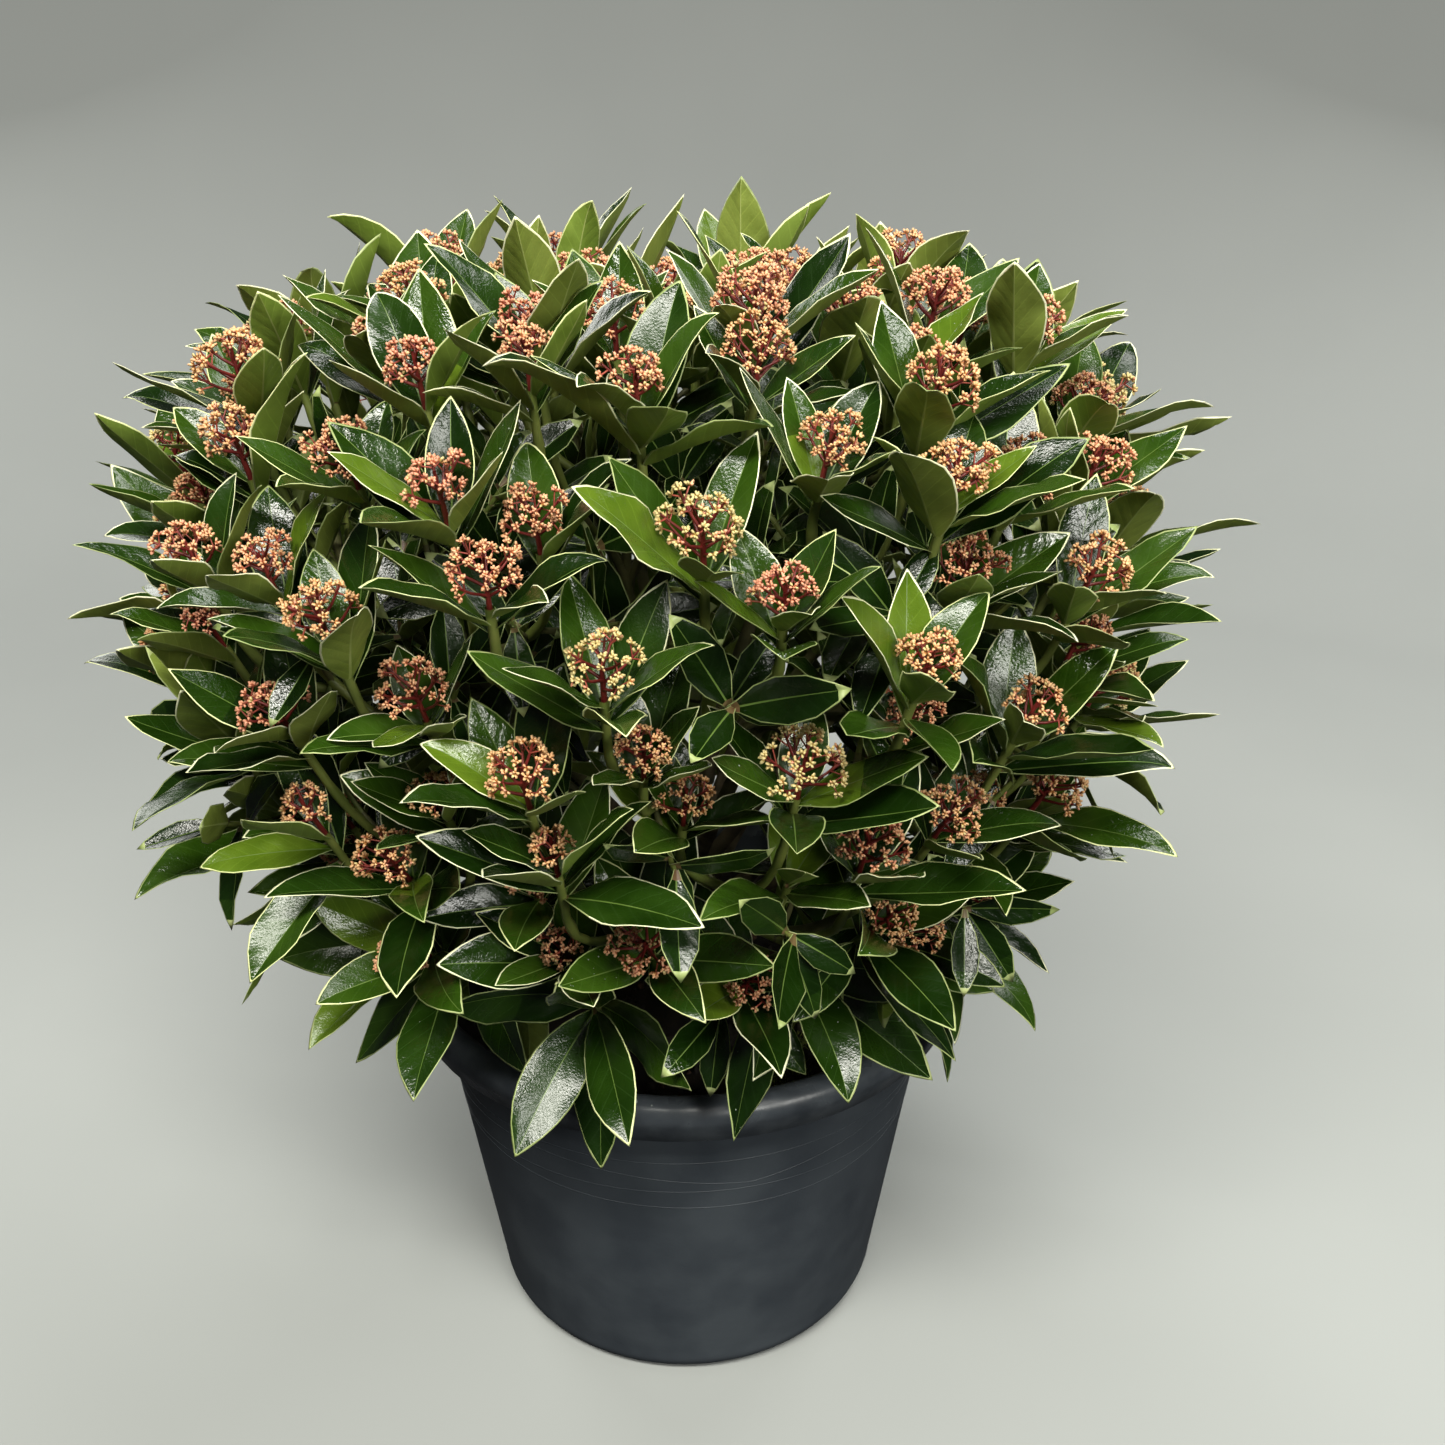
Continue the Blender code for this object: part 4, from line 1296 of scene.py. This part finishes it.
def build_foliage(masses, crowd, leaves, heads, twigs, side_twigs):
    """Leaves, buds, stalks, twigs and drops, each kind joined for each ring of masses."""
    finishes = leaf_finishes()
    bud_looks = [mottled(name, dark, light, 300, gloss) for name, dark, light, gloss in BUD_LOOKS]
    stalk_looks = [
        mottled("stalk_red", (0.10, 0.008, 0.008), (0.17, 0.016, 0.012), 200, (0.35, 0.5)),
        mottled("stalk_fine", (0.26, 0.045, 0.03), (0.38, 0.08, 0.05), 250, (0.4, 0.55)),
    ]
    twig_looks = [
        mottled("twig_green", (0.10, 0.135, 0.025), (0.18, 0.21, 0.045), 90, (0.4, 0.55), 0.4, 700),
        mottled("twig_olive", (0.07, 0.075, 0.022), (0.12, 0.115, 0.04), 90, (0.5, 0.7), 0.6, 500),
    ]
    water = water_finish()
    build_lip_drops(water)
    for ring, *_ in MASS_RINGS:
        members = [mass for mass in masses if mass.name.startswith(ring)]
        blades, inner_blades, stalks, sticks, drops = (Heap() for _ in range(5))
        buds = [Heap() for _ in range(BUD_PIECES[ring])]
        chance = np.random.default_rng(SEED + len(ring))
        for place, mass in enumerate(members):
            own_buds = buds[place * len(buds) // len(members)]
            for leaf in leaves[mass.name]:
                points = add_leaf(leaf, inner_blades if leaf.inner else blades)
                if not leaf.inner:
                    add_drops(points, drops, chance)
            for shoot in mass.shoots:
                if shoot.number in heads:
                    add_head(shoot, heads[shoot.number], crowd, own_buds, stalks)
                add_twig(twigs[shoot.number], TWIG_RADII, 6, sticks, shoot.number)
            for number, route in enumerate(side_twigs[mass.name]):
                add_twig(route, SIDE_RADII, 4, sticks, number)
        leaf_piece = blades.build(f"leaves_{ring}", finishes, "foliage")
        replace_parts(leaf_piece, *(f"foliage_{mass.name}" for mass in members))
        inner_blades.build(f"inner_leaves_{ring}", finishes, "foliage")
        for part, heap in enumerate(buds, 1):
            heap.build(f"buds_{ring}_{part}", bud_looks, "buds")
        stalks.build(f"stalks_{ring}", stalk_looks, "stalks")
        sticks.build(f"twigs_{ring}", twig_looks, "twigs")
        drops.build(f"drops_{ring}", [water], "water")


NODE_SWELL = 1.16
NODE_EVERY = 5
TWIG_SWELL = (0.94, 1.04)
TWIG_OLD = 0.4


def add_twig(route, radii, sides, heap, number):
    """A smooth green twig with slight swellings, browner where it is older."""
    draw = random.Random(f"{SEED} twig {number}")
    points, thick = [], []
    for a, b in zip(route, route[1:]):
        points += [a, a.lerp(b, 0.5)]
    points.append(route[-1])
    for k, radius in enumerate(taper(radii, len(points))):
        thick.append(radius * (NODE_SWELL if k % NODE_EVERY == 2 else draw.uniform(*TWIG_SWELL)))
    corners, quads = tube(points, thick, sides)
    old = np.arange(len(quads)) < len(quads) * TWIG_OLD
    heap.add(corners, (quads, old.astype(int)))


# Bark: how closely its furrows lie across and along, how fine its grain is and how deep beside the
# furrows, the sides of the mesh round a limb and the depth of the relief as a share of its radius, how
# far its tip stands out, and the share of a bough that is brown
BARK_ACROSS = 420
BARK_ALONG = 110
BARK_FINE = 900
BARK_FINE_DEPTH = 0.5
TRUNK_STEPS = 48
TRUNK_MESH = (56, 0.09)
BOUGH_STEPS = 18
STEM_STEPS = 6
BOUGH_MESH = (14, 0.12)
LIMB_TIP = 2 * MM
BOUGH_BROWN = 0.45


def bark_tube(points, radii, sides, relief, seed):
    """A tube whose surface has the furrows of bark."""
    corners, quads = tube(points, radii, sides)
    centres = np.repeat(np.array([list(p) for p in points]), sides, axis=0)
    out = unit(corners - centres)
    shift = []
    for place, radius in zip(corners, np.repeat(radii, sides)):
        spot = Vector(place)
        furrows = Vector((spot.x * BARK_ACROSS, spot.y * BARK_ACROSS, spot.z * BARK_ALONG))
        height = noise.noise(furrows + Vector((seed, 0, 0)))
        height += BARK_FINE_DEPTH * noise.noise(spot * BARK_FINE)
        shift.append(height * relief * radius)
    return corners + out * np.array(shift)[:, None], quads


def closed(corners, sides, tip):
    """The corners and the tip, with the triangles that close the last ring of the corners on it."""
    last = len(corners) - sides
    cap = [(last + i, last + (i + 1) % sides, len(corners)) for i in range(sides)]
    return np.vstack((corners, tip)), np.array(cap)


def build_trunk(bark):
    points, radii = [], []
    for k in range(TRUNK_STEPS):
        share = k / (TRUNK_STEPS - 1)
        flare = TRUNK_FLARE * math.exp(-TRUNK_FLARE_FADE * share)
        points.append(TRUNK_FOOT.lerp(TRUNK_TOP, share))
        radii.append(TRUNK_RADIUS * (1 + flare - TRUNK_TAPER * share))
    sides, relief = TRUNK_MESH
    corners, quads = bark_tube(points, radii, sides, relief, 3.0)
    corners, cap = closed(corners, sides, corners[-sides:].mean(0) + np.array(UP) * LIMB_TIP)
    trunk = Heap()
    trunk.add(corners, (quads, 0), (cap, 0))
    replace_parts(trunk.build("trunk_bark", bark, "bark"), "trunk")


def build_boughs(bark, masses):
    """Every bough with its mass's stem, brown at the trunk and olive further out."""
    boughs = Heap()
    sides, relief = BOUGH_MESH
    for number, mass in enumerate(masses):
        foot, end = mass.stem
        route = [bezier(mass.bough, k / (BOUGH_STEPS - 1)) for k in range(BOUGH_STEPS)]
        route += [foot.lerp(end, k / STEM_STEPS) for k in range(1, STEM_STEPS + 1)]
        radii = taper((BOUGH_RADII[0], STEM_END), len(route))
        corners, quads = bark_tube(route, radii, sides, relief, 10.0 * number)
        corners, cap = closed(corners, sides, np.array(end + (end - foot).normalized() * LIMB_TIP))
        green = np.arange(len(quads)) > len(quads) * BOUGH_BROWN
        boughs.add(corners, (quads, green.astype(int)), (cap, 1))
    piece = boughs.build("boughs_bark", bark, "bark")
    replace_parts(piece, *(f"bough_{mass.name}" for mass in masses))


def build_limbs(masses):
    """The trunk and the boughs, with the relief of their bark, in place of their plain solids."""
    bark = [
        mottled("bark_brown", (0.065, 0.05, 0.026), (0.15, 0.12, 0.065), 140, (0.7, 0.9), 0.9, 450),
        mottled("bark_olive", (0.075, 0.075, 0.026), (0.13, 0.12, 0.045), 120, (0.6, 0.8), 0.7, 500),
    ]
    build_trunk(bark)
    build_boughs(bark, masses)


def arc(centre, radius, start, end, steps):
    angles = (math.radians(start + (end - start) * k / steps) for k in range(steps + 1))
    return [(centre[0] + radius * math.cos(a), centre[1] + radius * math.sin(a)) for a in angles]


WALL_STEPS = 30


def pot_profile():
    """The pot's profile from the middle of its underside, up its outside, and down its inside."""
    neck = POT_HEIGHT - POT_LIP_DEPTH
    foot_middle = (POT_FOOT_RADIUS - POT_FOOT_ROUNDING, POT_FOOT_ROUNDING)
    lip_middle = (POT_LIP_RADIUS - POT_LIP_ROUNDING, POT_HEIGHT - POT_LIP_ROUNDING)
    profile = [(0.001, 0.0), (0.6 * POT_FOOT_RADIUS, 0.0)]
    profile += arc(foot_middle, POT_FOOT_ROUNDING, -90, 0, 10)
    radius, height = profile[-1]
    for k in range(1, WALL_STEPS):
        share = k / WALL_STEPS
        profile.append((radius + (POT_NECK_RADIUS - radius) * share, height + (neck - height) * share))
    edge = (POT_LIP_RADIUS - POT_LIP_UNDERCUT, neck + POT_LIP_SLOPE)
    profile += [
        (POT_NECK_RADIUS - 0.4 * MM, neck - 1.2 * MM),
        (POT_NECK_RADIUS + 1.2 * MM, neck + 0.6 * MM),
        (edge[0] - 2 * MM, edge[1] - 0.8 * MM),
        (edge[0] + 0.3 * MM, edge[1] + 0.6 * MM),
    ]
    profile += arc(lip_middle, POT_LIP_ROUNDING, -20, 110, 16)
    inner = (POT_NECK_RADIUS + POT_LIP_INNER[0], POT_HEIGHT - POT_LIP_INNER[1])
    return profile + [
        (inner[0] + 1.2 * MM, inner[1] + 2 * MM),
        inner,
        (POT_NECK_RADIUS - POT_WALL, neck - POT_LIP_SLOPE),
        (POT_FOOT_RADIUS - POT_WALL, POT_FOOT_ROUNDING),
        (foot_middle[0], POT_WALL),
        (0.001, POT_WALL),
    ]


def wall_radius(height):
    share = (height - POT_FOOT_ROUNDING) / (POT_HEIGHT - POT_LIP_DEPTH - POT_FOOT_ROUNDING)
    return POT_FOOT_RADIUS + (POT_NECK_RADIUS - POT_FOOT_RADIUS) * share


# Faint raised flow lines of the moulding, scalloped round the wall: height, swing, scallops, phase
FLOW_LINES = (
    (136 * MM, 4 * MM, 3, 0.4),
    (127 * MM, 7 * MM, 4, 1.3),
    (118 * MM, 6 * MM, 3, 2.6),
    (111 * MM, 3 * MM, 2, 0.9),
)
FLOW_STEPS = 240
FLOW_RADIUS = 0.17 * MM
FLOW_OUT = 0.02 * MM


def flow_line(height, swing, scallops, phase):
    route = []
    for k in range(FLOW_STEPS + 1):
        turn = 2 * math.pi * k / FLOW_STEPS
        z = height + swing * (abs(math.sin(scallops * (turn + phase) / 2)) - 0.5)
        reach = wall_radius(z) + FLOW_OUT
        route.append(Vector((math.cos(turn) * reach, math.sin(turn) * reach, z)))
    return tube(route, [FLOW_RADIUS] * len(route), 4)


def build_pot():
    plastic = mottled(
        "pot_plastic", (0.038, 0.046, 0.056), (0.055, 0.066, 0.077), 28, (0.42, 0.58), 0.35, 220,
        Coat_Weight=0.12, Coat_Roughness=0.3,
    )
    lip = mottled("pot_lip", (0.040, 0.048, 0.058), (0.078, 0.090, 0.102), 75, (0.46, 0.24), 0.35, 220)
    profile = pot_profile()
    points = rings(profile, POT_SIDES)
    faces = ring_faces(len(profile), POT_SIDES)
    middles = points[faces].mean(1)
    wide = np.linalg.norm(middles[:, :2], axis=1) > POT_NECK_RADIUS + MM
    heap = Heap()
    on_lip = wide & (middles[:, 2] > POT_HEIGHT - POT_LIP_DEPTH)
    heap.add(points, (faces, on_lip.astype(int)))
    for line in FLOW_LINES:
        corners, quads = flow_line(*line)
        heap.add(corners, (quads, 0))
    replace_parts(heap.build("pot_shell", [plastic, lip], "pot"), "pot")


LIP_DROPS = 24
LIP_SLOPES = (38, 100)
LIP_DROP_SIZES = (0.3 * MM, 0.35 * MM, 1.4 * MM)
LIP_DROP_HEIGHT = 0.6
LIP_DROP_SUNK = 0.03 * MM


def build_lip_drops(water):
    """Beads of water in a streak along the lip at the front."""
    chance = np.random.default_rng(SEED)
    bearings = np.radians(WET_BEARING + chance.normal(0, 0.5 * WET_SPREAD, LIP_DROPS))
    slopes = np.radians(chance.uniform(*LIP_SLOPES, LIP_DROPS))
    outward = np.column_stack((np.cos(bearings), np.sin(bearings), np.zeros(LIP_DROPS)))
    ways = outward * np.cos(slopes)[:, None] + np.array(UP) * np.sin(slopes)[:, None]
    least, usual, most = LIP_DROP_SIZES
    widths = np.minimum(least + chance.exponential(usual, LIP_DROPS), most)
    sunk = widths**2 / (2 * POT_LIP_ROUNDING) + LIP_DROP_SUNK
    spots = outward * (POT_LIP_RADIUS - POT_LIP_ROUNDING)
    spots += np.array(UP) * (POT_HEIGHT - POT_LIP_ROUNDING)
    spots += ways * (POT_LIP_ROUNDING - sunk)[:, None]
    points = set_along(DROP_POINTS, spots, ways, widths, widths * LIP_DROP_HEIGHT)
    groups = ((many(faces, LIP_DROPS, len(DROP_POINTS)), 0) for faces in (DROP_QUADS, DROP_TIP))
    drops = Heap()
    drops.add(points.reshape(-1, 3), *groups)
    drops.build("drops_lip", [water], "water")


# The soil's surface: rings and sides of its mesh, how the rings crowd at the wall, how the soil rises
# and falls, and how it drops at the wall
SOIL_MESH = (26, 110)
SOIL_RINGS_CROWD = 0.8
SOIL_SUNK = 1.2 * MM
SOIL_WAVES = ((2.2 * MM, 60), (1.6 * MM, 220))
SOIL_EDGE = (12 * MM, 3 * MM)
# Crumbs: number, how far out they lie, least, mean extra and greatest size, how deep they lie, their
# roughness, and the share of bark
CRUMBS = 420
CRUMB_REACH = 0.97
CRUMB_SIZES = (0.8 * MM, 0.9 * MM, 4 * MM)
CRUMB_SUNK = 0.6 * MM
CRUMB_ROUGH = 0.18
CRUMB_BARK = 0.22
# Moss: tufts, how many of them lie in the open patch at the front, its bearings, how far out they lie,
# their spread and blades for each mm of it, and the blades' width, length and lean
TUFTS = 30
TUFTS_IN_PATCH = 10
MOSS_PATCH = (-72, -40)
TUFT_PLACES = (0.55, 0.97)
TUFT_SPREAD = (4 * MM, 10 * MM)
TUFT_STRAY = 0.5
TUFT_BLADES = 14
TUFT_SUNK = 1.5 * MM
TUFT_HEIGHT = 2.5 * MM
MOSS_WIDTH = 0.35 * MM
MOSS_LENGTH = (1.2 * MM, 2.8 * MM)
MOSS_LEAN = 0.45


def add_ground(edge, heap):
    """The soil's uneven surface, lower at the pot's wall."""
    count, sides = SOIL_MESH
    fall, depth = SOIL_EDGE
    points = []
    for k in range(count):
        reach = edge * (k / (count - 1)) ** SOIL_RINGS_CROWD
        drop = depth * max(0.0, (reach - edge + fall) / fall)
        for i in range(sides):
            turn = 2 * math.pi * i / sides
            spot = Vector((math.cos(turn) * reach, math.sin(turn) * reach, 0.0))
            lift = sum(size * noise.noise(spot * grain) for size, grain in SOIL_WAVES)
            points.append((spot.x, spot.y, SOIL_TOP - SOIL_SUNK + lift - drop))
    heap.add(np.array(points), (ring_faces(count, sides), 0))


def add_crumbs(edge, chance, heap):
    """Crumbs of soil, and bits of bark among them."""
    least, usual, most = CRUMB_SIZES
    for _ in range(CRUMBS):
        reach = edge * math.sqrt(chance.random()) * CRUMB_REACH
        turn = chance.uniform(0, 2 * math.pi)
        size = least + chance.exponential(usual)
        middle = Vector((math.cos(turn) * reach, math.sin(turn) * reach, SOIL_TOP - CRUMB_SUNK))
        corners, faces = ball(middle, min(size, most), 4)
        rough = np.array(corners) + chance.normal(0, CRUMB_ROUGH * size, (len(corners), 3))
        quads = np.array([face for face in faces if len(face) == 4])
        heap.add(rough, (quads, int(chance.random() < CRUMB_BARK)))


def build_soil():
    """Crumbly soil in the pot, with bits of bark on it and tufts of moss."""
    dirt = [
        mottled("soil_dark", (0.008, 0.006, 0.004), (0.030, 0.021, 0.013), 160, (0.75, 0.95), 1.0, 500),
        mottled("soil_bark", (0.05, 0.024, 0.013), (0.11, 0.055, 0.03), 160, (0.7, 0.9), 1.0, 400),
    ]
    edge = POT_NECK_RADIUS - POT_WALL - SOIL_GAP
    heap = Heap()
    chance = np.random.default_rng(SEED)
    add_ground(edge, heap)
    add_crumbs(edge, chance, heap)
    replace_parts(heap.build("soil_surface", dirt, "soil"), "soil")
    build_moss(edge, chance)


def build_moss(edge, chance):
    moss = mottled("moss_tufts", (0.10, 0.13, 0.018), (0.24, 0.27, 0.05), 200, (0.7, 0.9))
    tufts = Heap()
    blade = rings(((1.0, 0.0), (0.15, 1.0)), 3)
    for k in range(TUFTS):
        reach = edge * chance.uniform(*TUFT_PLACES)
        in_patch = k < TUFTS_IN_PATCH
        turn = math.radians(chance.uniform(*MOSS_PATCH)) if in_patch else chance.uniform(0, 2 * math.pi)
        spread = chance.uniform(*TUFT_SPREAD)
        number = int(spread / MM * TUFT_BLADES)
        spots = chance.normal(0, spread * TUFT_STRAY, (number, 2))
        height = np.linalg.norm(spots, axis=1)
        spots += np.array((math.cos(turn) * reach, math.sin(turn) * reach))
        keep = np.linalg.norm(spots, axis=1) < edge - MM
        spots, height = spots[keep], height[keep]
        rise = TUFT_HEIGHT * np.exp(-(height / spread) ** 2)
        starts = np.column_stack((spots, SOIL_TOP - TUFT_SUNK + rise))
        ways = unit(np.array(UP) + chance.normal(0, MOSS_LEAN, (len(spots), 3)))
        number = len(spots)
        widths = np.full(number, MOSS_WIDTH)
        points = set_along(blade, starts, ways, widths, chance.uniform(*MOSS_LENGTH, number))
        tufts.add(points.reshape(-1, 3), (many(ring_faces(2, 3), number, 6), 0))
    tufts.build("moss", [moss], "moss")


def build_plant():
    shoots = lay_out_shoots()
    masses = lay_out_masses(shoots)
    crowd = Crowd()
    for name in ("pot", "soil"):
        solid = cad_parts[name].data
        corners = [tuple(v.co) for v in solid.vertices]
        crowd.add((corners, [tuple(f.vertices) for f in solid.polygons]), name)
    crowd.add(limb([TRUNK_FOOT, TRUNK_TOP], (TRUNK_RADIUS, TRUNK_RADIUS), 10), "trunk")
    for mass in masses:
        bough = [bezier(mass.bough, k / 4) for k in range(5)]
        crowd.add(limb(bough, taper(BOUGH_RADII, 5), 5), f"bough {mass.name}")
        crowd.add(limb(mass.stem, (BOUGH_RADII[1], STEM_END), 5), f"stem {mass.name}")
    grow_skirt(masses)
    twigs = place_twigs(masses, crowd)
    grow_second_shoots(masses, twigs, crowd)
    views = Crowd()
    heads = place_heads(masses, crowd, views)
    leaves = {mass.name: [] for mass in masses}
    places = {mass.name: np.array([list(shoot.node) for shoot in mass.shoots]) for mass in masses}
    room = (crowd, views, places)
    place_leaves(masses, room, leaves)
    side_twigs = place_side_shoots(masses, room, twigs, leaves)
    build_limbs(masses)
    build_foliage(masses, crowd, leaves, heads, twigs, side_twigs)


STAGE_FLOOR = 1.2
STAGE_CURVE = 0.9
STAGE_HEIGHT = 3.2
STAGE_SIDES = 96


def build_stage():
    """A plain pale floor that curves up into a backdrop all round."""
    pale = mottled("studio_grey", (0.36, 0.378, 0.368), (0.38, 0.398, 0.388), 2, (0.8, 0.9))
    profile = [(0.001, 0.0), (0.6, 0.0), (STAGE_FLOOR, 0.0)]
    profile += arc((STAGE_FLOOR, STAGE_CURVE), STAGE_CURVE, -90, 0, 24)[1:]
    profile += [(STAGE_FLOOR + STAGE_CURVE, STAGE_HEIGHT)]
    points, faces = rings(profile, STAGE_SIDES), ring_faces(len(profile), STAGE_SIDES)
    mesh = bpy.data.meshes.new("studio_floor")
    mesh.from_pydata(points.tolist(), [], faces.tolist())
    mesh.materials.append(pale)
    mesh.shade_smooth()
    floor = bpy.data.objects.new("studio_floor", mesh)
    bpy.context.scene.collection.objects.link(floor)
    floor.visible_glossy = False
    floor.visible_diffuse = False


# Lights: place, size, power in watts, colour
LIGHTS = {
    "key": ((-0.15, -1.15, 1.75), (1.6, 0.3), 55, (1.0, 0.98, 0.90)),
    "overhead": ((0.3, 0.35, 2.0), (1.6, 0.25), 15, (1.0, 1.0, 0.96)),
    "fill": ((0.95, -1.5, 0.95), (0.8, 0.5), 19, (1.0, 0.99, 0.93)),
    "back_left": ((-1.2, 1.25, 1.15), (0.8, 0.8), 10, (1.0, 1.0, 0.96)),
    "back_right": ((1.2, 1.25, 1.15), (0.8, 0.8), 10, (1.0, 1.0, 0.96)),
}
LIGHT_AIM = Vector((0, 0, 0.3))
SKY = {"Color": colour(0.95, 0.98, 1.0), "Strength": 0.035}


def build_lights():
    for name, (place, size, power, warmth) in LIGHTS.items():
        light = bpy.data.lights.new(name, "AREA")
        light.shape = "RECTANGLE"
        light.size, light.size_y = size
        light.energy = power
        light.color = warmth
        lamp = bpy.data.objects.new(name, light)
        lamp.location = place
        lamp.rotation_euler = (LIGHT_AIM - Vector(place)).to_track_quat("-Z", "Y").to_euler()
        bpy.context.scene.collection.objects.link(lamp)
    world = bpy.data.worlds.new("studio")
    world.use_nodes = True
    set_sockets(world.node_tree.nodes["Background"], SKY)
    bpy.context.scene.world = world
    bpy.context.scene.view_settings.view_transform = "Standard"


def build_camera():
    camera = bpy.data.objects.new("camera", bpy.data.cameras.new("camera"))
    camera.location = CAMERA_PLACE
    camera.rotation_euler = (CAMERA_TILT, 0.0, 0.0)
    camera.data.lens = CAMERA_LENS
    camera.data.sensor_width = CAMERA_SENSOR
    camera.data.clip_start = 0.01
    bpy.context.scene.collection.objects.link(camera)
    bpy.context.scene.camera = camera


build_camera()
build_pot()
build_soil()
build_plant()
build_stage()
build_lights()
